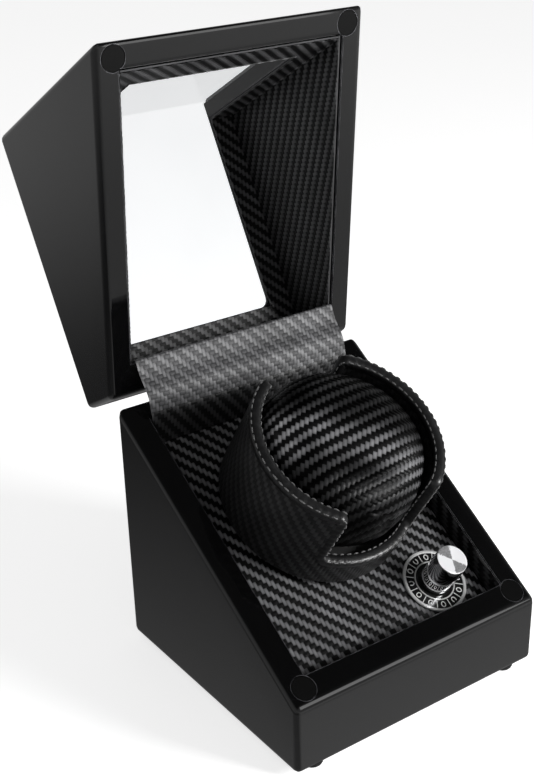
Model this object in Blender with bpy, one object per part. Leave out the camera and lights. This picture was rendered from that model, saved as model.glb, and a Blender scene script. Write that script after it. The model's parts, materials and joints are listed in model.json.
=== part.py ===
"""Watch winder box: a wedge-shaped lacquered case with a slanted rim and a hinged lid with a
wrap-round window.  Inside, a padded panel carries a motor-driven cup that holds a watch pillow, and
a knob on a dial.  Lengths are metres.

Frame: origin at the centre of the case's underside, +X to the right, +Y to the back, +Z up.
The lid stands open at rest.  Lid pieces are drawn as if the lid were shut and hang on the empty
`lid_pivot`, which lies on the hinge line and carries the opening angle.  Pieces that lie along the
slanted rim hang on `slope_frame`, whose X, Y and Z run right, up the slope and out of the slope.
"""
import math

import bmesh
import bpy
from mathutils import Vector

MM = 0.001

# Case, measured over the lacquer
WIDTH, DEPTH, HEIGHT = 120 * MM, 117 * MM, 130 * MM
FRONT_SPLIT, BACK_SPLIT = 29.2 * MM, 105.5 * MM   # height of the slanted split at front and back
EDGE_ROUND, EDGE_BREAK = 2.4 * MM, 0.4 * MM       # outer edges, and edges of the openings
GAP = 0.3 * MM                                    # between neighbouring pieces
RIM_GAP = 0.4 * MM                                # between base rim and lid rim, lid shut
PILOT = 0.2 * MM                                  # round a screw's shank in wood or in a tapped hole
OVER = 5 * MM                                     # how far a cutter runs past what it cuts

SLOPE = math.atan2(BACK_SPLIT - FRONT_SPLIT, DEPTH)
FRONT_Y, BACK_Y = -DEPTH / 2, DEPTH / 2

# Base walls and what closes the base underneath
SIDE_WALL, BASE_FRONT_WALL, BASE_BACK_WALL = 10.8 * MM, 9.5 * MM, 7.4 * MM
BASE_X = WIDTH / 2 - SIDE_WALL
BASE_Y0, BASE_Y1 = FRONT_Y + BASE_FRONT_WALL, BACK_Y - BASE_BACK_WALL
PANEL_LEDGE = 3.5 * MM                            # step that the slanted panel rests on
COVER_THICK, COVER_LIP_X, COVER_LIP_Y = 3 * MM, 5 * MM, 2 * MM
COVER_SCREW_X, COVER_SCREW_Y = 51.6 * MM, 30 * MM
COVER_HOLE, COVER_SINK, COVER_SINK_DEPTH = 1.8 * MM, 2.5 * MM, 1.6 * MM
FOOT_X, FOOT_FRONT_Y, FOOT_BACK_Y = 49 * MM, -53 * MM, 54.6 * MM
FOOT_RADIUS, FOOT_HEIGHT = 4.2 * MM, 2.6 * MM
FOOT_STEM, FOOT_STEM_LENGTH = 1.5 * MM, 6 * MM

# Slanted panel: its top lies below the rim, in slope_frame's Z
PANEL_TOP, PANEL_THICK = -10 * MM, 3 * MM
PANEL_UNDER = PANEL_TOP - PANEL_THICK

# Lid shell walls, lining boards and hinge line
LINING, LINING_INSET = 0.6 * MM, 1.2 * MM
LID_SIDE_WALL, LID_FRONT_WALL, LID_TOP_WALL, LID_BACK_WALL = 9.9 * MM, 8.6 * MM, 3 * MM, 11.4 * MM
LID_X = WIDTH / 2 - LID_SIDE_WALL
LID_Y0, LID_Y1, LID_Z = FRONT_Y + LID_FRONT_WALL, BACK_Y - LID_BACK_WALL, HEIGHT - LID_TOP_WALL
LID_OPEN = math.radians(119.4)
PIVOT_Y, PIVOT_Z = BACK_Y + 2.4 * MM, BACK_SPLIT - 0.2 * MM

# Window that runs over the top front edge of the lid
WINDOW_X, WINDOW_BACK_Y, WINDOW_LOW_Z = 38 * MM, 37.5 * MM, 53 * MM
WINDOW_TOP_CORNER, WINDOW_LOW_CORNER = 4 * MM, 5.5 * MM
PANE_THICK, PANE_LAP = 1.8 * MM, 1.9 * MM

# Leather flap over the hinge line
FLAP_THICK, FLAP_TUCK, FLAP_CLEAR = 0.7 * MM, 4.5 * MM, 1.2 * MM

# Rotor: cup, spindle and pulley, on an axis square to the slope
ROTOR_V = 78.2 * MM
CUP_RADIUS, CUP_BOTTOM, CUP_RIM, CUP_FLOOR = 39.2 * MM, -6.5 * MM, 37 * MM, 3 * MM
COVERING, DRUM_WALL = 0.9 * MM, 1.8 * MM
NOTCH_FRONT, NOTCH_BACK, NOTCH_LOW, NOTCH_CORNER = 21.4 * MM, 18 * MM, 7.5 * MM, 4 * MM
CUP_SCREW_HOLE = 2 * MM
SPINDLE_RADIUS, BORE_CLEARANCE, SPINDLE_END = 4 * MM, 0.1 * MM, -33 * MM
SPINDLE_FLANGE, SPINDLE_FLANGE_THICK = 11 * MM, 1.6 * MM
SPINDLE_TAPPING, SPINDLE_TAPPING_END = 1.7 * MM, -18 * MM
BUSH_RADIUS, UPPER_BUSH_FLANGE, LOWER_BUSH_FLANGE = 6 * MM, 9 * MM, 8 * MM
BUSH_FLANGE_THICK, BUSH_TAIL = 2 * MM, 3 * MM
PULLEY_RADIUS, PULLEY_MID, PULLEY_HALF = 18.05 * MM, -22 * MM, 3 * MM
PILLOW_RADIUS, PILLOW_LOW, PILLOW_TOP, PILLOW_SQUARENESS = 34.2 * MM, 0.6 * MM, 41.5 * MM, 0.62

# Motor, its pulley and the bracket that carries it under the panel
MOTOR_U, MOTOR_V = -29 * MM, 74 * MM
MOTOR_RADIUS, MOTOR_LENGTH, MOTOR_PULLEY_RADIUS = 12.2 * MM, 26 * MM, 5 * MM
MOTOR_NOSE, MOTOR_TAIL, MOTOR_TAIL_LENGTH = 3.5 * MM, 4 * MM, 1.5 * MM
MOTOR_SHAFT, MOTOR_SHAFT_TAIL = 1.5 * MM, 3 * MM
MOTOR_SCREW_V = (-8.5 * MM, 8.5 * MM)             # screws either side of the motor's shaft
BRACKET_WEB, BRACKET_SHEET = -27 * MM, 1.5 * MM
BRACKET_V0, BRACKET_V1 = 58 * MM, 94 * MM
BRACKET_LEG_LEFT, BRACKET_LEG_RIGHT, BRACKET_FLANGE = -39 * MM, 29 * MM, 6 * MM
BELT_SIZE, BELT_CLEARANCE = 1.6 * MM, 0.15 * MM

# Knob, dial plate and rotary switch
KNOB_U, KNOB_V = 29.6 * MM, 26.1 * MM
KNOB_RADIUS, KNOB_TOP, DIAL_RADIUS, DIAL_THICK = 6.5 * MM, 8.6 * MM, 13.8 * MM, 1 * MM
KNOB_CHAMFER, KNOB_SKIRT_RADIUS, KNOB_SKIRT_DEPTH = 0.7 * MM, 5.4 * MM, 3.2 * MM
KNOB_CROWN = 2.8 * MM                             # solid metal above the shaft's end
DIAL_BORDER, DIAL_SINK = 1.1 * MM, 0.3 * MM       # raised outer ring, and depth of the face inside it
SWITCH_HOLE, SWITCH_BUSH, SWITCH_SHAFT = 3.8 * MM, 3.5 * MM, 2.95 * MM
SWITCH_RADIUS, SWITCH_DEPTH, SWITCH_NUT_RADIUS, SWITCH_NUT_THICK = 8 * MM, 9 * MM, 4.7 * MM, 1.8 * MM

# Rim discs
DISC_U, DISC_V, DISC_RADIUS = 52.2 * MM, 6.9 * MM, 4.7 * MM
DISC_THICK, DISC_POCKET, DISC_SUNK = 2 * MM, 2.4 * MM, 0.05 * MM

# One wide hinge on the back face
HINGE_WIDTH, HINGE_DROP, HINGE_KNUCKLES = 66 * MM, 15 * MM, 5
KNUCKLE_RADIUS, PIN_RADIUS, LEAF_THICK, LEAF_GAP = 2.1 * MM, 0.9 * MM, 1 * MM, 0.2 * MM
HINGE_SCREW_X, HINGE_SCREW_DROP = 24 * MM, 9.5 * MM
PIN_CLEARANCE, KNUCKLE_CLEAR, TAB_INSET = 0.08 * MM, 0.5 * MM, 0.4 * MM

# Power socket in the back wall
JACK_X, JACK_Z, JACK_RADIUS = 30 * MM, 22 * MM, 4 * MM
JACK_FLANGE, JACK_FACE, JACK_FACE_HEIGHT = 5.6 * MM, 5 * MM, 1.8 * MM
JACK_BEHIND_WALL, PLUG_RADIUS, PLUG_DEPTH, PLUG_PIN = 9 * MM, 2.8 * MM, 8 * MM, 0.8 * MM
JACK_NUT_RADIUS, JACK_NUT_THICK = 6.2 * MM, 2 * MM

# Circuit board, on bosses of the bottom cover
BOARD_X, BOARD_Y, BOARD_LENGTH, BOARD_WIDTH, BOARD_THICK = -22 * MM, -32 * MM, 42 * MM, 24 * MM, 1.6 * MM
BOSS_INSET, BOSS_RADIUS, BOSS_HEIGHT = 3 * MM, 2.4 * MM, 5 * MM
BOSS_PEG, BOSS_PEG_HEIGHT = 1.1 * MM, 3 * MM
# Chips: centre from the board's centre, length, width and height, in millimetres
CHIPS = ((-6, 0, 10, 8, 2.4), (8, 3, 5, 5, 4.5), (8, -6, 8, 4, 3))

MOTOR_CABLE_RADIUS, POWER_CABLE_RADIUS = 0.9 * MM, 1.1 * MM

# Screws: head radius, head height, shank radius and shank length
COVER_SCREW = (2.2 * MM, 1.2 * MM, 1 * MM, 9 * MM)
HINGE_SCREW = (1.9 * MM, 0.8 * MM, 0.9 * MM, 7 * MM)
BRACKET_SCREW = (1.9 * MM, 1.1 * MM, 1 * MM, 3.4 * MM)
MOTOR_SCREW = (1.9 * MM, 1 * MM, 0.95 * MM, 4.5 * MM)
SPINDLE_SCREW = (3.2 * MM, 1.8 * MM, 1.5 * MM, 13 * MM)
SHANK = 2                                         # place of the shank radius in those lists
UNDER_HEAD = 0.1 * MM                             # between a screw's head and what it clamps


# ---------------------------------------------------------------- helpers
def clear_scene():
    for obj in list(bpy.data.objects):
        bpy.data.objects.remove(obj, do_unlink=True)


def make_material(name, color, roughness, metallic=0.0, alpha=1.0):
    material = bpy.data.materials.new(name)
    material.use_nodes = True
    shader = material.node_tree.nodes["Principled BSDF"]
    shader.inputs["Base Color"].default_value = (*color, 1.0)
    shader.inputs["Roughness"].default_value = roughness
    shader.inputs["Metallic"].default_value = metallic
    shader.inputs["Alpha"].default_value = alpha
    return material


def make_empty(name, parent=None, location=(0, 0, 0), turn_x=0.0):
    empty = bpy.data.objects.new(name, None)
    empty.empty_display_size = 0.02
    empty.parent = parent
    empty.location = location
    empty.rotation_euler = (turn_x, 0, 0)
    bpy.context.collection.objects.link(empty)
    return empty


def face_outward(bm):
    bmesh.ops.recalc_face_normals(bm, faces=bm.faces)
    if bm.calc_volume(signed=True) < 0:
        bmesh.ops.reverse_faces(bm, faces=bm.faces)


def make_object(name, bm, material=None, parent=None, location=(0, 0, 0), rotation=(0, 0, 0),
                smooth=False):
    face_outward(bm)
    mesh = bpy.data.meshes.new(name)
    bm.to_mesh(mesh)
    bm.free()
    obj = bpy.data.objects.new(name, mesh)
    if material:
        mesh.materials.append(material)
    if smooth:
        mesh.shade_smooth()
        mesh.set_sharp_from_angle(angle=math.radians(35))
    obj.parent = parent
    obj.location = location
    obj.rotation_euler = rotation
    bpy.context.collection.objects.link(obj)
    return obj


def prism(outline, low, high, axis="X"):
    """Solid with the given flat outline, run from low to high along axis.  The outline's two
    numbers are the remaining axes in X, Y, Z order."""
    place = {"X": lambda a, b, t: (t, a, b),
             "Y": lambda a, b, t: (a, t, b),
             "Z": lambda a, b, t: (a, b, t)}[axis]
    bm = bmesh.new()
    ends = [[bm.verts.new(place(a, b, t)) for a, b in outline] for t in (low, high)]
    bm.faces.new(ends[0])
    bm.faces.new(ends[1])
    for i in range(len(outline)):
        j = (i + 1) % len(outline)
        bm.faces.new((ends[0][i], ends[0][j], ends[1][j], ends[1][i]))
    face_outward(bm)
    return bm


def box(x0, x1, y0, y1, z0, z1):
    return prism([(x0, y0), (x1, y0), (x1, y1), (x0, y1)], z0, z1, "Z")


def lathe(profile, segments=24):
    """Solid turned about local Z from a closed outline of (radius, height) points.  An outline that
    touches the axis starts and ends there."""
    bm = bmesh.new()
    rings = []
    for radius, height in profile:
        if radius < 1e-7:
            rings.append([bm.verts.new((0, 0, height))] * segments)
            continue
        angles = [2 * math.pi * i / segments for i in range(segments)]
        rings.append([bm.verts.new((radius * math.cos(a), radius * math.sin(a), height)) for a in angles])
    for ring, following in zip(rings, rings[1:] + rings[:1]):
        for i in range(segments):
            j = (i + 1) % segments
            corners = [ring[i], ring[j], following[j], following[i]]
            unique = [v for k, v in enumerate(corners) if v not in corners[:k]]
            if len(unique) > 2:
                bm.faces.new(unique)
    return bm


def tube_profile(inner, outer, low, high):
    return [(inner, low), (outer, low), (outer, high), (inner, high)]


def rod_profile(radius, low, high):
    return [(0, low), (radius, low), (radius, high), (0, high)]


def arc(center, radius, start, stop, steps):
    """Points on an arc, angles in degrees."""
    angles = [math.radians(start + (stop - start) * i / steps) for i in range(steps + 1)]
    return [(center[0] + radius * math.cos(a), center[1] + radius * math.sin(a)) for a in angles]


def rounded_rectangle(x0, x1, y0, y1, radius, corners="both", steps=4):
    """Outline with rounded corners on the low side, the high side or both."""
    low = radius if corners in ("both", "low") else 0
    high = radius if corners in ("both", "high") else 0
    points = []
    for cx, cy, size, start in ((x0 + low, y0 + low, low, 180), (x1 - low, y0 + low, low, 270),
                                (x1 - high, y1 - high, high, 0), (x0 + high, y1 - high, high, 90)):
        points += arc((cx, cy), size, start, start + 90, steps) if size else [(cx, cy)]
    return points


def boolean(target, tool, operation):
    """Let a hidden tool cut into target or join it."""
    tool.hide_render = True
    tool.display_type = "WIRE"
    modifier = target.modifiers.new(tool.name, "BOOLEAN")
    modifier.operation = operation
    modifier.solver = "EXACT"
    modifier.object = tool


def add_union(target, name, bm, **place):
    """Join a shape to target."""
    boolean(target, make_object(name, bm, **place), "UNION")


def cut(target, name, bm, **place):
    """Cut a shape out of target with a cutter that shares the target's parent unless told."""
    parent = place.pop("parent", target.parent)
    boolean(target, make_object(name, bm, parent=parent, **place), "DIFFERENCE")


def round_edges(target, width, segments, sharper_than):
    modifier = target.modifiers.new("edges", "BEVEL")
    modifier.width = width
    modifier.segments = segments
    modifier.limit_method = "ANGLE"
    modifier.angle_limit = math.radians(sharper_than)


def slope_z(y, above=0.0):
    """World height of the slanted plane that lies `above` the split, measured square to it."""
    return FRONT_SPLIT + (y - FRONT_Y) * math.tan(SLOPE) + above / math.cos(SLOPE)


def lid_local(points):
    """Shut-lid (y, z) points relative to the hinge line."""
    return [(y - PIVOT_Y, z - PIVOT_Z) for y, z in points]


def open_lid_point(y, z):
    """World (y, z) of a shut-lid point once the lid stands open."""
    dy, dz = y - PIVOT_Y, z - PIVOT_Z
    c, s = math.cos(-LID_OPEN), math.sin(-LID_OPEN)
    return PIVOT_Y + c * dy - s * dz, PIVOT_Z + s * dy + c * dz


# ---------------------------------------------------------------- materials and frames
clear_scene()

LACQUER = make_material("black_lacquer", (0.008, 0.008, 0.010), 0.08)
LEATHER = make_material("carbon_leather", (0.025, 0.025, 0.028), 0.42)
CLEAR = make_material("clear_pane", (0.95, 0.97, 0.98), 0.03, alpha=0.3)
CHROME = make_material("chrome", (0.83, 0.83, 0.85), 0.08, 1.0)
DIAL_METAL = make_material("dial_metal", (0.45, 0.45, 0.46), 0.3, 1.0)
STEEL = make_material("steel", (0.55, 0.55, 0.56), 0.32, 1.0)
BRASS = make_material("brass", (0.72, 0.55, 0.26), 0.3, 1.0)
PLASTIC = make_material("black_plastic", (0.02, 0.02, 0.02), 0.45)
RUBBER = make_material("rubber", (0.015, 0.015, 0.015), 0.8)
BOARD = make_material("circuit_green", (0.02, 0.16, 0.06), 0.45)
CABLE = make_material("cable_red", (0.35, 0.02, 0.02), 0.5)

FACE_BACK, FACE_DOWN, ALONG_X = (-math.pi / 2, 0, 0), (math.pi, 0, 0), (0, math.pi / 2, 0)

slope_frame = make_empty("slope_frame", location=(0, FRONT_Y, FRONT_SPLIT), turn_x=SLOPE)
rotor_axis = make_empty("rotor_axis", slope_frame, (0, ROTOR_V, 0))
knob_axis = make_empty("knob_axis", slope_frame, (KNOB_U, KNOB_V, 0))
motor_axis = make_empty("motor_axis", slope_frame, (MOTOR_U, MOTOR_V, 0))
lid_pivot = make_empty("lid_pivot", location=(0, PIVOT_Y, PIVOT_Z), turn_x=-LID_OPEN)
lid_slope = make_empty("lid_slope", lid_pivot, (0, FRONT_Y - PIVOT_Y, FRONT_SPLIT - PIVOT_Z), SLOPE)


# ---------------------------------------------------------------- case base
def base_shell():
    wedge = [(FRONT_Y, 0), (BACK_Y, 0), (BACK_Y, BACK_SPLIT), (FRONT_Y, FRONT_SPLIT)]
    shell = make_object("base_shell", prism(wedge, -WIDTH / 2, WIDTH / 2), LACQUER)
    round_edges(shell, EDGE_ROUND, 3, 30)
    low_x = BASE_X - PANEL_LEDGE
    cut(shell, "base_hollow_cutter", box(-low_x, low_x, BASE_Y0, BASE_Y1, -HEIGHT, HEIGHT))
    ledge = PANEL_UNDER - GAP
    recess = [(BASE_Y0, slope_z(BASE_Y0, ledge)), (BASE_Y1, slope_z(BASE_Y1, ledge)),
              (BASE_Y1, HEIGHT), (BASE_Y0, HEIGHT)]
    cut(shell, "panel_recess_cutter", prism(recess, -BASE_X, BASE_X))
    round_edges(shell, EDGE_BREAK, 1, 50)
    lip = box(-BASE_X - COVER_LIP_X, BASE_X + COVER_LIP_X, BASE_Y0 - COVER_LIP_Y, BASE_Y1 + COVER_LIP_Y,
              -HEIGHT, COVER_THICK + GAP)
    cut(shell, "cover_lip_cutter", lip)
    for side in (-1, 1):
        cut(shell, f"rim_disc_cutter_{side}", lathe(rod_profile(DISC_RADIUS + GAP, -DISC_POCKET, OVER)),
            parent=slope_frame, location=(side * DISC_U, DISC_V, 0))
    for x, y in cover_screw_places():
        pilot = rod_profile(COVER_SCREW[SHANK] + PILOT, 0, COVER_THICK + COVER_SCREW[-1])
        cut(shell, "cover_screw_hole", lathe(pilot, 8), location=(x, y, 0))
    for x, y in foot_places():
        stem_hole = rod_profile(FOOT_STEM + GAP, -OVER, FOOT_STEM_LENGTH + MM)
        cut(shell, "foot_hole", lathe(stem_hole, 12), location=(x, y, 0))
    for x in hinge_screw_places():
        cut(shell, "base_hinge_hole", lathe(hinge_pilot(), 8),
            location=(x, BACK_Y, PIVOT_Z - HINGE_SCREW_DROP), rotation=FACE_BACK)
    cut(shell, "jack_hole_cutter", lathe(rod_profile(JACK_RADIUS + GAP, -BASE_BACK_WALL - OVER, OVER)),
        location=(JACK_X, BACK_Y, JACK_Z), rotation=FACE_BACK)


def cover_screw_places():
    return [(sx * COVER_SCREW_X, sy * COVER_SCREW_Y) for sx in (-1, 1) for sy in (-1, 1)]


def foot_places():
    return [(sx * FOOT_X, y) for sx in (-1, 1) for y in (FOOT_FRONT_Y, FOOT_BACK_Y)]


def hinge_screw_places():
    return [-HINGE_SCREW_X, 0, HINGE_SCREW_X]


def hinge_pilot():
    return rod_profile(HINGE_SCREW[SHANK] + PILOT, -HINGE_SCREW[-1] + GAP, MM)


def boss_places():
    reach_x, reach_y = BOARD_LENGTH / 2 - BOSS_INSET, BOARD_WIDTH / 2 - BOSS_INSET
    return [(BOARD_X + sx * reach_x, BOARD_Y + sy * reach_y) for sx in (-1, 1) for sy in (-1, 1)]


def bottom_cover():
    x = BASE_X + COVER_LIP_X - GAP
    plate = box(-x, x, BASE_Y0 - COVER_LIP_Y + GAP, BASE_Y1 + COVER_LIP_Y - GAP, 0, COVER_THICK)
    cover = make_object("bottom_cover", plate, PLASTIC)
    root, shoulder = COVER_THICK / 3, COVER_THICK + BOSS_HEIGHT
    peg_top = shoulder + BOSS_PEG_HEIGHT
    boss = [(0, root), (BOSS_RADIUS, root), (BOSS_RADIUS, shoulder), (BOSS_PEG, shoulder),
            (BOSS_PEG, peg_top), (0, peg_top)]
    for index, (x, y) in enumerate(boss_places()):
        add_union(cover, f"boss_{index}", lathe(boss, 8), location=(x, y, 0))
    for x, y in cover_screw_places():
        cut(cover, "cover_hole", lathe(rod_profile(COVER_HOLE, -OVER, OVER), 12), location=(x, y, 0))
        cut(cover, "cover_sink", lathe(rod_profile(COVER_SINK, -OVER, COVER_SINK_DEPTH), 12),
            location=(x, y, 0))


def screw(name, head_radius, head_height, shank_radius, length, **place):
    """Pan-head screw: the head's seat at local Z = 0, the shank along -Z, a slot across the head."""
    profile = [(0, -length), (shank_radius / 2, -length), (shank_radius, -length + shank_radius),
               (shank_radius, 0), (head_radius, 0), (head_radius, head_height * 0.6),
               (head_radius * 0.72, head_height), (0, head_height)]
    body = make_object(name, lathe(profile, 12), STEEL, smooth=True, **place)
    slot_half = 0.25 * MM
    slot = box(-head_radius, head_radius, -slot_half, slot_half, head_height * 0.55, head_height * 2)
    cut(body, f"{name}_slot", slot, location=body.location, rotation=body.rotation_euler)


def cover_screws():
    for index, (x, y) in enumerate(cover_screw_places(), 1):
        seat = COVER_SINK_DEPTH - GAP
        screw(f"cover_screw_{index}", *COVER_SCREW, location=(x, y, seat), rotation=FACE_DOWN)


def feet():
    dome = [(FOOT_RADIUS, -GAP), (FOOT_RADIUS, -FOOT_HEIGHT * 0.55),
            (FOOT_RADIUS * 0.86, -FOOT_HEIGHT * 0.88), (FOOT_RADIUS * 0.62, -FOOT_HEIGHT)]
    stem = [(0, FOOT_STEM_LENGTH), (FOOT_STEM, FOOT_STEM_LENGTH), (FOOT_STEM, -GAP)]
    profile = stem + dome + [(0, -FOOT_HEIGHT)]
    for index, (x, y) in enumerate(foot_places(), 1):
        make_object(f"foot_{index}", lathe(profile, 14), RUBBER, location=(x, y, 0), smooth=True)


def slope_board(y0, y1, top, thick):
    """Side outline of a board that follows the slope and is cut off upright at both ends."""
    return [(y0, slope_z(y0, top)), (y1, slope_z(y1, top)),
            (y1, slope_z(y1, top - thick)), (y0, slope_z(y0, top - thick))]


def slope_panel():
    outline = slope_board(BASE_Y0 + GAP, BASE_Y1 - GAP, PANEL_TOP, PANEL_THICK)
    panel = make_object("slope_panel", prism(outline, -BASE_X + GAP, BASE_X - GAP), LEATHER)
    below = PANEL_UNDER - OVER
    cut(panel, "spindle_hole_cutter", lathe(rod_profile(BUSH_RADIUS + GAP, below, 0)), parent=rotor_axis)
    cut(panel, "switch_hole_cutter", lathe(rod_profile(SWITCH_HOLE, below, 0), 16), parent=knob_axis)
    pilot = rod_profile(BRACKET_SCREW[SHANK] + PILOT, below, PANEL_TOP - 0.8 * MM)
    for index, u in enumerate(bracket_screw_places()):
        cut(panel, f"bracket_screw_hole_{index}", lathe(pilot, 8),
            parent=slope_frame, location=(u, (BRACKET_V0 + BRACKET_V1) / 2, 0))


def rim_discs():
    """Magnets: the base's lie just below its rim, the lid's just above the lid's own rim."""
    profile = rod_profile(DISC_RADIUS, -DISC_THICK, -DISC_SUNK)
    lid_profile = rod_profile(DISC_RADIUS, RIM_GAP + DISC_SUNK, RIM_GAP + DISC_THICK)
    for side, name in ((-1, "left"), (1, "right")):
        place = {"location": (side * DISC_U, DISC_V, 0), "smooth": True}
        make_object(f"base_magnet_{name}", lathe(profile), PLASTIC, slope_frame, **place)
        make_object(f"lid_magnet_{name}", lathe(lid_profile), PLASTIC, lid_slope, **place)


# ---------------------------------------------------------------- lid
def window_cutters(shell):
    """Opening through the top and the front of the lid, with a shallow outside rebate for the pane."""
    for name, lap, depth in (("opening", 0, None), ("rebate", PANE_LAP + GAP, PANE_THICK + GAP / 2)):
        x, back, low = WINDOW_X + lap, WINDOW_BACK_Y + lap, WINDOW_LOW_Z - lap
        top_floor = HEIGHT - depth if depth else LID_Z - OVER
        front_floor = FRONT_Y + depth if depth else LID_Y0 + OVER
        before, above = FRONT_Y - OVER - PIVOT_Y, HEIGHT + OVER - PIVOT_Z
        top = rounded_rectangle(-x, x, before, back - PIVOT_Y, WINDOW_TOP_CORNER + lap, "high")
        cut(shell, f"window_top_{name}", prism(top, top_floor - PIVOT_Z, above, "Z"))
        front = rounded_rectangle(-x, x, low - PIVOT_Z, above, WINDOW_LOW_CORNER + lap, "low")
        cut(shell, f"window_front_{name}", prism(front, before, front_floor - PIVOT_Y, "Y"))
        if not depth:
            round_edges(shell, EDGE_BREAK, 1, 50)


def lid_shell():
    outline = lid_local([(FRONT_Y, slope_z(FRONT_Y, RIM_GAP)), (FRONT_Y, HEIGHT), (BACK_Y, HEIGHT),
                         (BACK_Y, slope_z(BACK_Y, RIM_GAP))])
    shell = make_object("lid_shell", prism(outline, -WIDTH / 2, WIDTH / 2), LACQUER, lid_pivot)
    round_edges(shell, EDGE_ROUND, 3, 30)
    cut(shell, "lid_hollow_cutter",
        box(-LID_X, LID_X, LID_Y0 - PIVOT_Y, LID_Y1 - PIVOT_Y, -PIVOT_Z, LID_Z - PIVOT_Z))
    window_cutters(shell)
    for side in (-1, 1):
        pocket = rod_profile(DISC_RADIUS + GAP, -OVER, RIM_GAP + DISC_POCKET)
        cut(shell, f"lid_disc_cutter_{side}", lathe(pocket), parent=lid_slope,
            location=(side * DISC_U, DISC_V, 0))
    for x in hinge_screw_places():
        cut(shell, "lid_hinge_hole", lathe(hinge_pilot(), 8),
            location=(x, BACK_Y - PIVOT_Y, HINGE_SCREW_DROP), rotation=FACE_BACK)


def round_sheet_corners(bm, axis, level, radius):
    """Round the two corners at the sheet's end, where coordinate number `axis` equals level."""
    def stands_across(edge):
        a, b = (v.co for v in edge.verts)
        return abs(a.x - b.x) < 1e-6 and abs(a[axis] - level) < 1e-6 and abs(b[axis] - level) < 1e-6
    edges = [e for e in bm.edges if stands_across(e)]
    bmesh.ops.bevel(bm, geom=edges, offset=radius, segments=4, profile=0.5, affect="EDGES")


def lid_window():
    """One clear sheet bent over the top front edge, flush with the outside."""
    x = WINDOW_X + PANE_LAP
    back, low = WINDOW_BACK_Y + PANE_LAP, WINDOW_LOW_Z - PANE_LAP
    outer = arc((FRONT_Y + EDGE_ROUND, HEIGHT - EDGE_ROUND), EDGE_ROUND, 90, 180, 4)
    inner = arc((FRONT_Y + EDGE_ROUND, HEIGHT - EDGE_ROUND), EDGE_ROUND - PANE_THICK, 180, 90, 4)
    outline = ([(back, HEIGHT)] + outer + [(FRONT_Y, low), (FRONT_Y + PANE_THICK, low)] + inner
               + [(back, HEIGHT - PANE_THICK)])
    bm = prism(lid_local(outline), -x, x)
    round_sheet_corners(bm, 1, back - PIVOT_Y, WINDOW_TOP_CORNER + PANE_LAP)
    round_sheet_corners(bm, 2, low - PIVOT_Z, WINDOW_LOW_CORNER + PANE_LAP)
    make_object("lid_window", bm, CLEAR, lid_pivot)


def lid_linings():
    """Leather-covered boards on the lid's inner walls."""
    low = RIM_GAP + LINING_INSET
    x_in, y0, y1, top = LID_X - GAP - LINING, LID_Y0 + GAP, LID_Y1 - GAP, LID_Z - GAP
    side = lid_local([(y0, slope_z(y0, low)), (y0, top), (y1, top), (y1, slope_z(y1, low))])
    for sign, name in ((-1, "left"), (1, "right")):
        ends = sorted((sign * x_in, sign * (x_in + LINING)))
        make_object(f"lid_lining_{name}", prism(side, *ends), LEATHER, lid_pivot)
    x, hole = x_in - GAP, WINDOW_X + GAP
    back_y, top_z = y1 - LINING - GAP, top - LINING - GAP
    lip_y, lip_z = WINDOW_BACK_Y + GAP, WINDOW_LOW_Z - GAP

    def board(name, outline, low_level, high_level, axis, origin):
        """Board with a flat outline in the lid's plan or front view, measured from the hinge line."""
        shape = prism([(u, v - origin) for u, v in outline], low_level, high_level, axis)
        make_object(f"lid_lining_{name}", shape, LEATHER, lid_pivot)

    plan = [(-x, y0), (-hole, y0), (-hole, lip_y), (hole, lip_y), (hole, y0), (x, y0),
            (x, back_y), (-x, back_y)]
    board("top", plan, top - LINING - PIVOT_Z, top - PIVOT_Z, "Z", PIVOT_Y)
    low_z = slope_z(y0 + LINING, low)
    arch = [(-x, low_z), (x, low_z), (x, top_z), (hole, top_z), (hole, lip_z), (-hole, lip_z),
            (-hole, top_z), (-x, top_z)]
    board("front", arch, y0 - PIVOT_Y, y0 + LINING - PIVOT_Y, "Y", PIVOT_Z)
    back_low = slope_z(y1, low) + FLAP_TUCK
    back = [(-x, back_low), (x, back_low), (x, top), (-x, top)]
    board("back", back, y1 - LINING - PIVOT_Y, y1 - PIVOT_Y, "Y", PIVOT_Z)


# ---------------------------------------------------------------- leather flap and hinge
def hinge_flap():
    """Leather sheet from the panel up the base's back wall, across the hinge line and into the lid."""
    y = BASE_Y1 - GAP - FLAP_THICK
    lid_y = LID_Y1 - GAP - FLAP_THICK
    path = [(y, slope_z(BASE_Y1, PANEL_TOP) + GAP), (y, slope_z(y) + FLAP_CLEAR),
            open_lid_point(lid_y, slope_z(lid_y, RIM_GAP) - FLAP_CLEAR),
            open_lid_point(lid_y, slope_z(lid_y, RIM_GAP) + FLAP_TUCK)]
    front = [Vector(p) for p in path]
    back = []
    for i, point in enumerate(front):
        before = (point - front[i - 1]).normalized() if i else None
        after = (front[i + 1] - point).normalized() if i + 1 < len(front) else None
        along = ((before or after) + (after or before)).normalized()
        stretch = 1 / max(along.dot(after or before), 0.5)
        back.append(point + Vector((along.y, -along.x)) * FLAP_THICK * stretch)
    outline = [tuple(p) for p in front + back[::-1]]
    x = BASE_X - GAP
    make_object("hinge_flap", prism(outline, -x, x), LEATHER)


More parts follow.
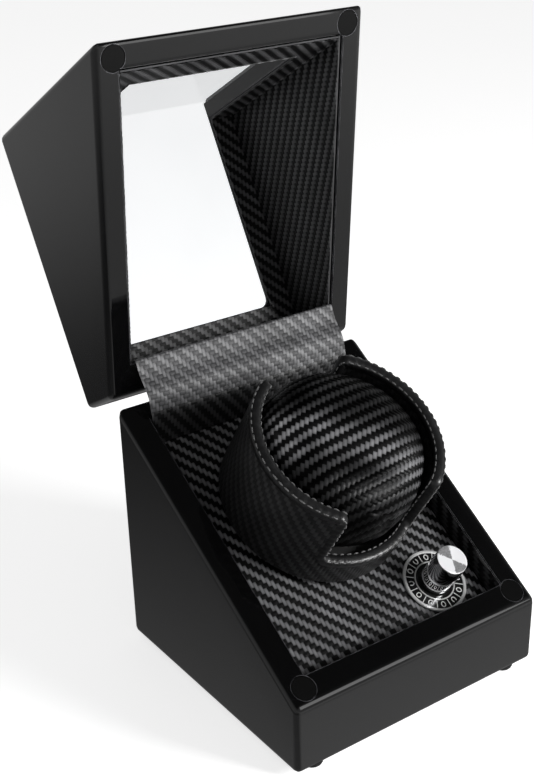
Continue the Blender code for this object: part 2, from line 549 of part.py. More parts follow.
def hinge_leaf(name, parent, pivot, knuckles, up):
    """Leaf flat on the back face with its knuckles round the hinge line.  up is -1 for the base's
    leaf and +1 for the lid's."""
    half = HINGE_WIDTH / 2
    clear, inset = KNUCKLE_RADIUS + KNUCKLE_CLEAR, TAB_INSET
    outline = [(-half, up * HINGE_DROP), (half, up * HINGE_DROP), (half, up * clear)]
    for low, high in sorted(knuckles, reverse=True):
        outline += [(high - inset, up * clear), (high - inset, up * inset), (low + inset, up * inset),
                    (low + inset, up * clear)]
    outline += [(-half, up * clear)]
    face = pivot[0] + BACK_Y - PIVOT_Y
    sheet = prism(outline, LEAF_GAP, LEAF_GAP + LEAF_THICK, "Y")
    leaf = make_object(name, sheet, STEEL, parent, (0, face, pivot[1]))
    for index, (low, high) in enumerate(knuckles):
        knuckle = lathe(tube_profile(PIN_RADIUS + PIN_CLEARANCE, KNUCKLE_RADIUS, low, high), 12)
        add_union(leaf, f"{name}_knuckle_{index}", knuckle, parent=parent, location=(0, *pivot),
                  rotation=ALONG_X)
    for x in hinge_screw_places():
        cut(leaf, f"{name}_hole", lathe(rod_profile(HINGE_SCREW[SHANK] + GAP, -OVER, OVER), 8),
            location=(x, face, pivot[1] + up * HINGE_SCREW_DROP), rotation=FACE_BACK)


def hinge():
    step = HINGE_WIDTH / HINGE_KNUCKLES
    ends = [-HINGE_WIDTH / 2 + i * step for i in range(HINGE_KNUCKLES + 1)]
    spans = list(zip(ends, ends[1:]))
    hinge_leaf("hinge_base_leaf", None, (PIVOT_Y, PIVOT_Z), spans[0::2], -1)
    lid_spans = [(low + GAP, high - GAP) for low, high in spans[1::2]]
    hinge_leaf("hinge_lid_leaf", lid_pivot, (0, 0), lid_spans, 1)
    pin_half = HINGE_WIDTH / 2 + TAB_INSET
    make_object("hinge_pin", lathe(rod_profile(PIN_RADIUS, -pin_half, pin_half), 12), STEEL,
                location=(0, PIVOT_Y, PIVOT_Z), rotation=ALONG_X, smooth=True)
    seat = LEAF_GAP + LEAF_THICK + UNDER_HEAD
    for index, x in enumerate(hinge_screw_places(), 1):
        screw(f"hinge_base_screw_{index}", *HINGE_SCREW, rotation=FACE_BACK,
              location=(x, BACK_Y + seat, PIVOT_Z - HINGE_SCREW_DROP))
        screw(f"hinge_lid_screw_{index}", *HINGE_SCREW, parent=lid_pivot, rotation=FACE_BACK,
              location=(x, BACK_Y + seat - PIVOT_Y, HINGE_SCREW_DROP))


# ---------------------------------------------------------------- rotor and pillow
def cut_notches(target):
    reach = CUP_RADIUS + OVER
    for name, half, low, high in (("front", NOTCH_FRONT, -reach, 0), ("back", NOTCH_BACK, 0, reach)):
        outline = rounded_rectangle(-half, half, NOTCH_LOW, CUP_RIM + OVER, NOTCH_CORNER, "low")
        cut(target, f"{target.name}_notch_{name}", prism(outline, low, high, "Y"))


def cup():
    outer = CUP_RADIUS - COVERING - GAP
    bore = outer - DRUM_WALL
    floor_top, drum_top = CUP_BOTTOM + CUP_FLOOR, CUP_RIM - MM
    drum = [(CUP_SCREW_HOLE, CUP_BOTTOM), (outer, CUP_BOTTOM), (outer, drum_top), (bore, drum_top),
            (bore, floor_top), (CUP_SCREW_HOLE, floor_top)]
    wrap = tube_profile(outer + GAP, CUP_RADIUS, CUP_BOTTOM, CUP_RIM)
    liner = tube_profile(bore - GAP - COVERING, bore - GAP, floor_top + GAP, CUP_RIM)
    for name, profile, material in (("cup_drum", drum, PLASTIC), ("cup_wrap", wrap, LEATHER),
                                    ("cup_liner", liner, LEATHER)):
        cut_notches(make_object(name, lathe(profile, 48), material, rotor_axis, smooth=True))


def spindle():
    flange_top = CUP_BOTTOM - GAP
    flange_low = flange_top - SPINDLE_FLANGE_THICK
    profile = [(SPINDLE_TAPPING, flange_top), (SPINDLE_FLANGE, flange_top), (SPINDLE_FLANGE, flange_low),
               (SPINDLE_RADIUS, flange_low), (SPINDLE_RADIUS, SPINDLE_END), (0, SPINDLE_END),
               (0, SPINDLE_TAPPING_END), (SPINDLE_TAPPING, SPINDLE_TAPPING_END)]
    make_object("spindle", lathe(profile, 20), STEEL, rotor_axis, smooth=True)
    screw("spindle_screw", *SPINDLE_SCREW, parent=rotor_axis,
          location=(0, 0, CUP_BOTTOM + CUP_FLOOR + UNDER_HEAD))


def grooved_wheel(bore, radius, low, high):
    """Pulley outline with a square belt groove at mid height."""
    middle, half = (low + high) / 2, BELT_SIZE / 2 + BELT_CLEARANCE
    floor = radius - BELT_SIZE
    return [(bore, low), (radius, low), (radius, middle - half), (floor, middle - half),
            (floor, middle + half), (radius, middle + half), (radius, high), (bore, high)]


def pulleys():
    low, high = PULLEY_MID - PULLEY_HALF, PULLEY_MID + PULLEY_HALF
    wheel = grooved_wheel(SPINDLE_RADIUS + BORE_CLEARANCE, PULLEY_RADIUS, low, high)
    make_object("driven_pulley", lathe(wheel, 32), PLASTIC, rotor_axis, smooth=True)
    small = grooved_wheel(MOTOR_SHAFT + BORE_CLEARANCE, MOTOR_PULLEY_RADIUS, low, high)
    make_object("motor_pulley", lathe(small, 16), BRASS, motor_axis, smooth=True)
    shaft = rod_profile(MOTOR_SHAFT, motor_face() - MOTOR_SHAFT_TAIL, high + MM)
    make_object("motor_shaft", lathe(shaft, 12), STEEL, motor_axis, smooth=True)


def bushes():
    """Flanged plain bearings: one in the panel, one in the drive bracket."""
    bore = SPINDLE_RADIUS + BORE_CLEARANCE
    top, seat = PANEL_TOP + 0.8 * MM, PANEL_UNDER - GAP
    low = seat - BUSH_FLANGE_THICK
    upper = [(bore, top), (BUSH_RADIUS, top), (BUSH_RADIUS, seat), (UPPER_BUSH_FLANGE, seat),
             (UPPER_BUSH_FLANGE, low), (bore, low)]
    make_object("upper_bush", lathe(upper, 20), BRASS, rotor_axis, smooth=True)
    top, seat = BRACKET_WEB + 1.2 * MM, BRACKET_WEB + GAP
    low = BRACKET_WEB - BRACKET_SHEET - BUSH_TAIL
    lower = [(bore, top), (LOWER_BUSH_FLANGE, top), (LOWER_BUSH_FLANGE, seat), (BUSH_RADIUS, seat),
             (BUSH_RADIUS, low), (bore, low)]
    make_object("lower_bush", lathe(lower, 20), BRASS, rotor_axis, smooth=True)


def pillow():
    """Padded cushion that fills the cup: round in plan, with a square-shouldered side outline."""
    rings, segments = 8, 28
    half = (PILLOW_TOP - PILLOW_LOW) / 2
    middle = (PILLOW_TOP + PILLOW_LOW) / 2
    profile = [(0, PILLOW_LOW)]
    for i in range(1, rings):
        a = -math.pi / 2 + math.pi * i / rings
        lift = math.copysign(abs(math.sin(a)) ** PILLOW_SQUARENESS, math.sin(a))
        profile.append((PILLOW_RADIUS * math.cos(a) ** PILLOW_SQUARENESS, middle + half * lift))
    profile.append((0, PILLOW_TOP))
    make_object("pillow", lathe(profile, segments), LEATHER, rotor_axis, smooth=True)


# ---------------------------------------------------------------- drive
def drive_bracket():
    top, web, sheet = PANEL_UNDER - GAP, BRACKET_WEB, BRACKET_SHEET
    left, right, flange = BRACKET_LEG_LEFT, BRACKET_LEG_RIGHT, BRACKET_FLANGE
    outline = [(left - flange, top), (left, top), (left, web), (right, web), (right, top),
               (right + flange, top), (right + flange, top - sheet), (right + sheet, top - sheet),
               (right + sheet, web - sheet), (left - sheet, web - sheet), (left - sheet, top - sheet),
               (left - flange, top - sheet)]
    bracket = make_object("drive_bracket", prism(outline, BRACKET_V0, BRACKET_V1, "Y"), STEEL, slope_frame)
    middle = (BRACKET_V0 + BRACKET_V1) / 2
    holes = [(0, ROTOR_V, BUSH_RADIUS + GAP), (MOTOR_U, MOTOR_V, MOTOR_NOSE + GAP)]
    holes += [(MOTOR_U, MOTOR_V + offset, MOTOR_SCREW[SHANK] + GAP) for offset in MOTOR_SCREW_V]
    holes += [(u, middle, BRACKET_SCREW[SHANK] + GAP) for u in bracket_screw_places()]
    for index, (u, v, radius) in enumerate(holes):
        drill = lathe(rod_profile(radius, web - sheet - OVER, 0), 12)
        cut(bracket, f"bracket_hole_{index}", drill, location=(u, v, 0))
    for index, u in enumerate(bracket_screw_places(), 1):
        screw(f"bracket_screw_{index}", *BRACKET_SCREW, parent=slope_frame,
              location=(u, middle, top - sheet - UNDER_HEAD), rotation=FACE_DOWN)


def bracket_screw_places():
    inset = 3.9 * MM
    return [BRACKET_LEG_LEFT - inset, BRACKET_LEG_RIGHT + inset]


def motor_face():
    """Height of the motor's face, just under the bracket's web."""
    return BRACKET_WEB - BRACKET_SHEET - GAP


def motor():
    top, nose_top, socket = motor_face(), motor_face() + 1.2 * MM, MOTOR_SHAFT + PILOT
    low, blind = top - MOTOR_LENGTH, top - MOTOR_SHAFT_TAIL - MM
    profile = [(socket, nose_top), (MOTOR_NOSE, nose_top), (MOTOR_NOSE, top), (MOTOR_RADIUS, top),
               (MOTOR_RADIUS, low), (MOTOR_TAIL, low), (MOTOR_TAIL, low - MOTOR_TAIL_LENGTH),
               (0, low - MOTOR_TAIL_LENGTH), (0, blind), (socket, blind)]
    body = make_object("gear_motor", lathe(profile, 20), STEEL, motor_axis, smooth=True)
    tapping = rod_profile(MOTOR_SCREW[SHANK] + PILOT, top - 4 * MM, top + MM)
    for index, offset in enumerate(MOTOR_SCREW_V, 1):
        cut(body, f"motor_tapping_{index}", lathe(tapping, 8), location=(0, offset, 0))
        screw(f"motor_screw_{index}", *MOTOR_SCREW, parent=motor_axis,
              location=(0, offset, BRACKET_WEB + UNDER_HEAD))


def hex_nut(name, bore, corner_radius, low, high, **place):
    nut = make_object(name, lathe(rod_profile(corner_radius, low, high), 6), STEEL, **place)
    cut(nut, f"{name}_bore", lathe(rod_profile(bore, low - MM, high + MM), 16),
        location=nut.location, rotation=nut.rotation_euler)


def tangent_loop(first, first_radius, second, second_radius, steps):
    """Closed outline of a belt's centre line round two circles."""
    a, b = Vector(first), Vector(second)
    apart = b - a
    heading = math.atan2(apart.y, apart.x)
    spread = math.acos((first_radius - second_radius) / apart.length)
    full = 2 * math.pi
    around_first = [heading + spread + (full - 2 * spread) * i / steps for i in range(steps + 1)]
    around_second = [heading - spread + 2 * spread * i / steps for i in range(steps + 1)]
    return ([a + Vector((math.cos(t), math.sin(t))) * first_radius for t in around_first]
            + [b + Vector((math.cos(t), math.sin(t))) * second_radius for t in around_second])


def drive_belt():
    lift = BELT_CLEARANCE - BELT_SIZE
    rows = []
    for extra, height in ((0, -1), (BELT_SIZE, -1), (BELT_SIZE, 1), (0, 1)):
        loop = tangent_loop((0, ROTOR_V), PULLEY_RADIUS + lift + extra, (MOTOR_U, MOTOR_V),
                            MOTOR_PULLEY_RADIUS + lift + extra, 16)
        rows.append([(p.x, p.y, PULLEY_MID + height * BELT_SIZE / 2) for p in loop])
    bm = bmesh.new()
    rings = [[bm.verts.new(p) for p in row] for row in rows]
    count = len(rings[0])
    for ring, following in zip(rings, rings[1:] + rings[:1]):
        for i in range(count):
            j = (i + 1) % count
            bm.faces.new((ring[i], ring[j], following[j], following[i]))
    make_object("drive_belt", bm, RUBBER, slope_frame, smooth=True)


# ---------------------------------------------------------------- controls and wiring
def controls():
    plate_low = PANEL_TOP + GAP
    plate_top = plate_low + DIAL_THICK
    inside, face = DIAL_RADIUS - DIAL_BORDER, plate_top - DIAL_SINK
    edge = 0.2 * MM
    plate = [(SWITCH_HOLE, plate_low), (DIAL_RADIUS, plate_low), (DIAL_RADIUS, plate_top - edge),
             (DIAL_RADIUS - edge, plate_top), (inside, plate_top), (inside, face), (SWITCH_HOLE, face)]
    make_object("dial_plate", lathe(plate, 36), DIAL_METAL, knob_axis, smooth=True)

    nut_low = plate_top + UNDER_HEAD
    nut_top = nut_low + SWITCH_NUT_THICK
    hex_nut("switch_nut", SWITCH_BUSH + 0.15 * MM, SWITCH_NUT_RADIUS, nut_low, nut_top, parent=knob_axis)

    body_top, neck_top = PANEL_UNDER - GAP, nut_top + 0.4 * MM
    bore, blind = SWITCH_SHAFT + 0.15 * MM, body_top - 4 * MM
    body_low = body_top - SWITCH_DEPTH
    switch = [(bore, neck_top), (SWITCH_BUSH, neck_top), (SWITCH_BUSH, body_top), (SWITCH_RADIUS, body_top),
              (SWITCH_RADIUS, body_low), (0, body_low), (0, blind), (bore, blind)]
    make_object("rotary_switch", lathe(switch, 20), PLASTIC, knob_axis, smooth=True)

    shaft_top, socket_top = KNOB_TOP - KNOB_CROWN - 0.2 * MM, KNOB_TOP - KNOB_CROWN
    shaft = rod_profile(SWITCH_SHAFT, blind + MM / 2, shaft_top)
    make_object("switch_shaft", lathe(shaft, 16), STEEL, knob_axis, smooth=True)

    skirt, socket = plate_top + GAP, SWITCH_SHAFT + BORE_CLEARANCE
    skirt_top = skirt + KNOB_SKIRT_DEPTH
    knob = [(KNOB_SKIRT_RADIUS, skirt), (KNOB_RADIUS, skirt), (KNOB_RADIUS, KNOB_TOP - KNOB_CHAMFER),
            (KNOB_RADIUS - KNOB_CHAMFER, KNOB_TOP), (0, KNOB_TOP), (0, socket_top), (socket, socket_top),
            (socket, skirt_top), (KNOB_SKIRT_RADIUS, skirt_top)]
    make_object("knob", lathe(knob, 28), CHROME, knob_axis, smooth=True)


def circuit_board():
    low = COVER_THICK + BOSS_HEIGHT + GAP
    high = low + BOARD_THICK
    half_x, half_y = BOARD_LENGTH / 2, BOARD_WIDTH / 2
    plate = box(BOARD_X - half_x, BOARD_X + half_x, BOARD_Y - half_y, BOARD_Y + half_y, low, high)
    board = make_object("circuit_board", plate, BOARD)
    for index, chip in enumerate(CHIPS):
        dx, dy, length, width, tall = (value * MM for value in chip)
        x, y = BOARD_X + dx, BOARD_Y + dy
        block = box(x - length / 2, x + length / 2, y - width / 2, y + width / 2, low + MM / 2, high + tall)
        add_union(board, f"chip_{index}", block)
    for index, (x, y) in enumerate(boss_places()):
        hole = lathe(rod_profile(BOSS_PEG + PILOT, low - MM, high + MM), 8)
        cut(board, f"board_hole_{index}", hole, location=(x, y, 0))


def power_socket():
    depth = BASE_BACK_WALL + JACK_BEHIND_WALL
    profile = [(0, -depth), (JACK_RADIUS, -depth), (JACK_RADIUS, GAP), (JACK_FLANGE, GAP),
               (JACK_FLANGE, JACK_FACE_HEIGHT - 0.4 * MM), (JACK_FACE, JACK_FACE_HEIGHT),
               (PLUG_RADIUS, JACK_FACE_HEIGHT), (PLUG_RADIUS, -PLUG_DEPTH), (PLUG_PIN, -PLUG_DEPTH),
               (PLUG_PIN, MM), (0, MM)]
    place = {"location": (JACK_X, BACK_Y, JACK_Z), "rotation": FACE_BACK}
    make_object("power_socket", lathe(profile, 20), PLASTIC, smooth=True, **place)
    inside = -BASE_BACK_WALL - GAP
    hex_nut("power_socket_nut", JACK_RADIUS + GAP / 2, JACK_NUT_RADIUS, inside - JACK_NUT_THICK, inside,
            **place)


def cable(name, points, radius):
    """Round cable through world points."""
    curve = bpy.data.curves.new(name, "CURVE")
    curve.dimensions = "3D"
    curve.bevel_depth = radius
    curve.bevel_resolution = 1
    curve.resolution_u = 5
    curve.use_fill_caps = True
    spline = curve.splines.new("BEZIER")
    spline.bezier_points.add(len(points) - 1)
    for knot, point in zip(spline.bezier_points, points):
        knot.co = point
        knot.handle_left_type = knot.handle_right_type = "AUTO"
    curve.materials.append(CABLE)
    bpy.context.collection.objects.link(bpy.data.objects.new(name, curve))


def slope_point(u, v, w):
    """World point of a place measured right, up the slope and out of it."""
    return Vector((u, FRONT_Y + v * math.cos(SLOPE) - w * math.sin(SLOPE),
                   FRONT_SPLIT + v * math.sin(SLOPE) + w * math.cos(SLOPE)))


def cables():
    """One from the motor's tail and one from the socket, both ending just over the board."""
    over_board = COVER_THICK + BOSS_HEIGHT + GAP + BOARD_THICK + 1.4 * MM
    arch = over_board + 2.6 * MM
    motor_end = slope_point(MOTOR_U, MOTOR_V, motor_face() - MOTOR_LENGTH - MOTOR_TAIL_LENGTH - 0.8 * MM)
    cable("motor_cable", [motor_end, motor_end + Vector((6 * MM, 2 * MM, -5 * MM)),
                          Vector((BOARD_X + 16 * MM, BOARD_Y + 14 * MM, arch)),
                          Vector((BOARD_X + 16 * MM, BOARD_Y + 4 * MM, over_board))], MOTOR_CABLE_RADIUS)
    socket_end = Vector((JACK_X, BACK_Y - BASE_BACK_WALL - JACK_BEHIND_WALL - 1.2 * MM, JACK_Z))
    cable("power_cable", [socket_end, socket_end + Vector((0, -8 * MM, -4 * MM)),
                          Vector((8 * MM, -14 * MM, arch)),
                          Vector((BOARD_X + 18 * MM, BOARD_Y - 2 * MM, over_board))], POWER_CABLE_RADIUS)


for build in (base_shell, bottom_cover, cover_screws, feet, slope_panel, rim_discs, lid_shell,
              lid_window, lid_linings, hinge_flap, hinge, cup, spindle, pulleys, bushes, pillow,
              drive_bracket, motor, drive_belt, controls, circuit_board, power_socket, cables):
    build()
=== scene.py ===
"""Looks of the watch winder box: lacquered shells, woven leather, stitched cup, simulated pillow,
turned knob and dial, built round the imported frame.  Lengths are metres.

Three local frames are used.  The slope frame lies on the base's slanted rim: u to the right, v up
the slope from the rim's front edge, w square to the slope.  The shut frame is the world with the
lid shut.  The weave frame counts tows of the leather's 2/2 twill along and across the sheet.
"""
import json
import math

import bmesh
import bpy
import numpy as np
from mathutils import Matrix, Vector


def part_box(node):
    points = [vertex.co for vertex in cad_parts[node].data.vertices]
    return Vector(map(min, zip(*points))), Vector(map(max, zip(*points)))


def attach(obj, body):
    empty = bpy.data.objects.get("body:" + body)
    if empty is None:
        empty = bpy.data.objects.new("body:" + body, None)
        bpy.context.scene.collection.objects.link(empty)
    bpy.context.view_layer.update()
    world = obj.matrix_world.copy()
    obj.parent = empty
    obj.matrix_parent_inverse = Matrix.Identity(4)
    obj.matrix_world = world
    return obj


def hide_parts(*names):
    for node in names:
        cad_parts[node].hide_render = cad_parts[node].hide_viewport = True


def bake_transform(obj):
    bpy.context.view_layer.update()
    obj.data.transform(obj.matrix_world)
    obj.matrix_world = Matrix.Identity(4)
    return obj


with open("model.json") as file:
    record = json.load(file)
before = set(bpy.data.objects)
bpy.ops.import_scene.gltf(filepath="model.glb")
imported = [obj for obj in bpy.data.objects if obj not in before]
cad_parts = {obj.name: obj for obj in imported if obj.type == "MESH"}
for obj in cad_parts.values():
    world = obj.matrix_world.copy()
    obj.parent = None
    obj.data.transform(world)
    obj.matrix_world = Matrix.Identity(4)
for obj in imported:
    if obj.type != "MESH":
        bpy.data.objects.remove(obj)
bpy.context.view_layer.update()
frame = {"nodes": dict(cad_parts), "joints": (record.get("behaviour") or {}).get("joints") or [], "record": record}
MM = 0.001

# ---- frames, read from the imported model
JOINTS = {joint["name"]: joint for joint in frame["joints"]}
HINGE = Vector(JOINTS["lid_hinge"]["pos_m"])
LID_OPEN = math.radians(JOINTS["lid_hinge"]["range_deg"][1])
SLOPE_W = Vector(JOINTS["rotor_spin"]["axis"]).normalized()
SLOPE_U = Vector((1, 0, 0))
SLOPE_V = SLOPE_W.cross(SLOPE_U)
SLOPE_AXES = np.array([SLOPE_U, SLOPE_V, SLOPE_W])
ROTOR = Vector(JOINTS["rotor_spin"]["pos_m"])
CASE_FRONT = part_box("base_shell")[0].y
ROTOR_V = (ROTOR.y - CASE_FRONT) / SLOPE_V.y
SLOPE_ORIGIN = ROTOR - SLOPE_V * ROTOR_V
OPEN_TO_SHUT = Matrix.Rotation(LID_OPEN, 3, "X")
SHUT_TO_OPEN = OPEN_TO_SHUT.transposed()


def slope_point(u, v, w):
    return SLOPE_ORIGIN + SLOPE_U * u + SLOPE_V * v + SLOPE_W * w


def in_slope(point):
    """Slope-frame coordinates of a world point."""
    d = Vector(point) - SLOPE_ORIGIN
    return Vector((d.dot(SLOPE_U), d.dot(SLOPE_V), d.dot(SLOPE_W)))


def shut(point):
    """Where a point of the open lid lies once the lid is shut."""
    return HINGE + OPEN_TO_SHUT @ (Vector(point) - HINGE)


def opened(point):
    return HINGE + SHUT_TO_OPEN @ (Vector(point) - HINGE)


def node_points(node, place):
    return np.array([place(vertex.co) for vertex in frame["nodes"][node].data.vertices])


def levels(node, place, axis):
    """Distinct coordinates of a node's vertices along one axis of a local frame, lowest first."""
    return sorted(set(np.round(node_points(node, place)[:, axis], 5)))


def widest(node):
    """Largest distance of a node's vertices from the rotor's axis."""
    local = node_points(node, in_slope)
    return np.hypot(local[:, 0], local[:, 1] - ROTOR_V).max()


# ---- driving sizes of the visual pieces
SAME = 1e-5                                # closer coordinates than this are one level
PANEL_CELL = (1.42 * MM, 1.95 * MM)        # width of a tow across the panel and up the slope
LINING_CELL = (1.5 * MM, 1.5 * MM)
FLAP_CELL = (1.45 * MM, 1.75 * MM)
CUP_CELL = (1.6 * MM, 1.6 * MM)
SAMPLES = 4                                # grid steps across one tow
LIFT = 0.03 * MM                           # between a board and the leather glued to it
RELIEF = 0.16 * MM                         # height of the woven relief

FLAP_LEAST = 9.5 * MM                      # least distance of the flap from the hinge line
FLAP_SHARPNESS, FLAP_REACH = 10, 1.25      # how abruptly, and up to how many least distances, it bows
FLAP_SMOOTHING = 6                         # passes

LINER_THICK = 0.9 * MM
CUP_OUTER = widest("cup_wrap")
CUP_INNER = widest("cup_liner") - LINER_THICK
CUP_MEAN = (CUP_OUTER + CUP_INNER) / 2
CUP_LOW, CUP_RIM = (levels("cup_wrap", in_slope, 2)[end] for end in (0, -1))
LINER_LOW = levels("cup_liner", in_slope, 2)[0]
NOTCH_FRONT, NOTCH_BACK, NOTCH_LOW = 21.4 * MM, 18 * MM, 7.5 * MM   # half widths, and floor height
NOTCH_CORNER, RIM_CORNER = 4 * MM, 2.2 * MM
BINDING_HALF = (CUP_OUTER - CUP_INNER) / 2 + 0.2 * MM
BINDING_CROWN, BINDING_DEPTH, BINDING_TUCK = 1.1 * MM, 2.4 * MM, 0.5 * MM
BINDING_STEP = 0.55 * MM
STITCH_STEP, STITCH_LENGTH, STITCH_GAP = 0.3 * MM, 2.2 * MM, 1.0 * MM
STITCH_RADIUS, STITCH_RISE = 0.26 * MM, 0.3 * MM
STITCH_SHOULDER = math.radians(36)         # up the binding's arch

PILLOW_TOW = 1.77 * MM
PILLOW_GROWTH_CAP = 2.2 * MM
PILLOW_SHRINK = 0.965
PILLOW_FULLNESS = 0.82                     # below 1 moves the dome's shoulder outward
PILLOW_DRAPE = 0.75                        # share of the dome's fall that the weave follows
RIB_TURN = math.radians(6)                 # of the pillow's ribs away from the cup's sides
SEAM_V, SEAM_SLANT = -33.5 * MM, 0.33      # where the seam before the pillow's end crosses u = 0
SEAM_DEPTH, SEAM_PUFF = 0.9 * MM, 0.35 * MM
GATHER_U, GATHER_DEPTH, CREASE_DEPTH = -27 * MM, 0.3 * MM, 0.18 * MM
PILLOW_RELIEF = 0.22 * MM
VOXEL = 3.5 * MM
CLOTH_SETTINGS = {"quality": 5, "mass": 0.2, "tension_stiffness": 18, "compression_stiffness": 18,
                  "shear_stiffness": 8, "bending_stiffness": 0.6, "use_pressure": True,
                  "uniform_pressure_force": 4}
CLOTH_FRAMES = 20

SECTOR_TURN = math.radians(-20)            # of the painted bright sectors on the knob's face
DIAL_MARKS = 12

KEY_SIDE = Vector((0.5, -0.82, 0.32))      # from the object towards the key light
KEY_DISTANCE, KEY_SIZE = 0.95, (0.32, 0.32)
AIM = Vector((0, 0.02, 0.09))
ROOM_LIGHT_SIDE = Vector((0.57, -0.8, -0.2))
ROOM_LEVEL, HORIZON_LEVEL, FLOOR_GLOW = 0.24, 0.36, 0.68
FLOOR_HALF = 6
CAMERA_PLACE = Vector((-0.2817, -0.3627, 0.3291))
CAMERA_AZIMUTH, CAMERA_ELEVATION, CAMERA_ROLL = (math.radians(a) for a in (-34.88, 27.15, -1.5))
CAMERA_LENS, CAMERA_SHIFT = 61.4, 0.0745


# ---- materials
class Graph:
    """Short form for building a node tree."""

    def __init__(self, tree):
        self.tree = tree

    def feed(self, socket, value):
        if isinstance(value, bpy.types.NodeSocket):
            self.tree.links.new(value, socket)
        else:
            socket.default_value = value

    def node(self, kind, settings=None, **inputs):
        node = self.tree.nodes.new(kind)
        for name, value in (settings or {}).items():
            setattr(node, name, value)
        for name, value in inputs.items():
            self.feed(node.inputs[name.replace("_", " ")], value)
        return node

    def math(self, operation, *values):
        node = self.node("ShaderNodeMath", {"operation": operation})
        for socket, value in zip(node.inputs, values):
            self.feed(socket, value)
        return node.outputs[0]

    def product(self, first, *others):
        for other in others:
            first = self.math("MULTIPLY", first, other)
        return first

    def choose(self, share, high, low):
        """high where share is 1, low where it is 0."""
        rest = self.math("SUBTRACT", 1.0, share)
        return self.math("ADD", self.product(high, share), self.product(low, rest))

    def dot(self, first, second):
        node = self.node("ShaderNodeVectorMath", {"operation": "DOT_PRODUCT"})
        self.feed(node.inputs[0], first)
        self.feed(node.inputs[1], second)
        return node.outputs["Value"]

    def mix(self, factor, low, high):
        node = self.node("ShaderNodeMix", {"data_type": "RGBA"})
        for index, value in ((0, factor), (6, low), (7, high)):
            self.feed(node.inputs[index], value)
        return node.outputs[2]

    def position(self, stretch=(1, 1, 1)):
        """Object coordinates, stretched, so that a pattern moves with its piece."""
        place = self.node("ShaderNodeTexCoord").outputs["Object"]
        return self.node("ShaderNodeMapping", Vector=place, Scale=stretch).outputs[0]

    def noise(self, size, detail=3.0, stretch=(1, 1, 1), roughness=0.5):
        """Noise from 0 to 1 with features of the given size."""
        return self.node("ShaderNodeTexNoise", Vector=self.position(stretch), Scale=1 / size,
                         Detail=detail, Roughness=roughness).outputs[0]

    def span(self, value, low, high):
        """A value from 0 to 1, moved to run from low to high."""
        return self.math("MULTIPLY_ADD", value, high - low, low)

    def step(self, value, start, stop, low=0.0, high=1.0):
        node = self.node("ShaderNodeMapRange", {"interpolation_type": "SMOOTHSTEP"}, Value=value)
        for name, number in (("From Min", start), ("From Max", stop), ("To Min", low), ("To Max", high)):
            node.inputs[name].default_value = number
        return node.outputs[0]

    def bump(self, height, distance, normal=None):
        node = self.node("ShaderNodeBump", Height=height, Distance=distance, Strength=1.0)
        if normal is not None:
            self.feed(node.inputs["Normal"], normal)
        return node.outputs[0]

    def grey(self, value, tint=(1, 1, 1)):
        node = self.node("ShaderNodeCombineColor")
        for socket, share in zip(node.inputs, tint):
            self.feed(socket, self.math("MULTIPLY", value, share))
        return node.outputs[0]


class Surface(Graph):
    """Graph of one material, which ends in its principled shader."""

    def __init__(self, name):
        self.material = bpy.data.materials.new(name)
        self.material.use_nodes = True
        super().__init__(self.material.node_tree)
        self.shader = self.tree.nodes["Principled BSDF"]

    def finish(self, **inputs):
        for name, value in inputs.items():
            self.feed(self.shader.inputs[name.replace("_", " ")], value)
        return self.material


def sharp_edge_mask(g, radius):
    """1 along sharp edges, 0 elsewhere."""
    rounded = g.node("ShaderNodeBevel", {"samples": 6}, Radius=radius).outputs[0]
    facing = g.node("ShaderNodeNewGeometry").outputs["Normal"]
    return g.step(g.dot(rounded, facing), 0.99, 0.88)


def lacquer():
    """Black polyester lacquer, buffed to a high gloss, with orange peel, finger smears and dust,
    and lighter along its edges: a little edge wear, but mostly a painted highlight."""
    g = Surface("piano_lacquer")
    base = 0.0035
    smears = g.step(g.noise(22 * MM, 5, (1, 1, 2.5)), 0.45, 0.75)
    dust = g.step(g.noise(0.35 * MM, 1), 0.74, 0.8)
    # Painted highlight along the sharp edges, with a little real edge wear in it.
    wear_and_painted_highlight = g.product(sharp_edge_mask(g, 0.4 * MM), g.step(g.noise(4 * MM, 4), 0.35, 0.6, 0.25, 1.0))
    tone = g.math("ADD", g.span(g.noise(40 * MM), base * 0.7, base * 1.3), g.product(dust, 0.004))
    tone = g.math("ADD", tone, g.product(wear_and_painted_highlight, 0.34))
    return g.finish(Base_Color=g.grey(tone, (1, 1, 1.08)), Roughness=g.span(smears, 0.05, 0.13),
                    Specular_IOR_Level=0.5, Coat_Weight=0.25, Coat_Roughness=0.03,
                    Normal=g.bump(g.noise(1.6 * MM, 2), 0.0012 * MM))


def shader_twill(g):
    """The same 2/2 twill as twill() makes in the mesh: which tow is on top, the place across the
    top tow, and its height."""
    tows = g.node("ShaderNodeUVMap", {"uv_map": "weave"}).outputs[0]
    s, t = g.node("ShaderNodeSeparateXYZ", Vector=tows).outputs[:2]
    column, row = g.math("FLOOR", s), g.math("FLOOR", t)
    along = g.math("FLOORED_MODULO", g.math("ADD", t, column), 4.0)
    along_cross = g.math("FLOORED_MODULO", g.math("ADD", s, row), 4.0)
    on_top = g.math("LESS_THAN", along, 2.0)
    across = g.choose(on_top, g.math("SUBTRACT", s, column), g.math("SUBTRACT", t, row))
    run = g.product(g.choose(on_top, along, g.math("SUBTRACT", along_cross, 2.0)), 0.5)

    def crowned(value):
        centred = g.math("ABSOLUTE", g.math("MULTIPLY_ADD", value, 2.0, -1.0))
        return g.math("SUBTRACT", 1.0, g.math("POWER", centred, 3.0))

    return on_top, across, g.product(crowned(across), crowned(run))


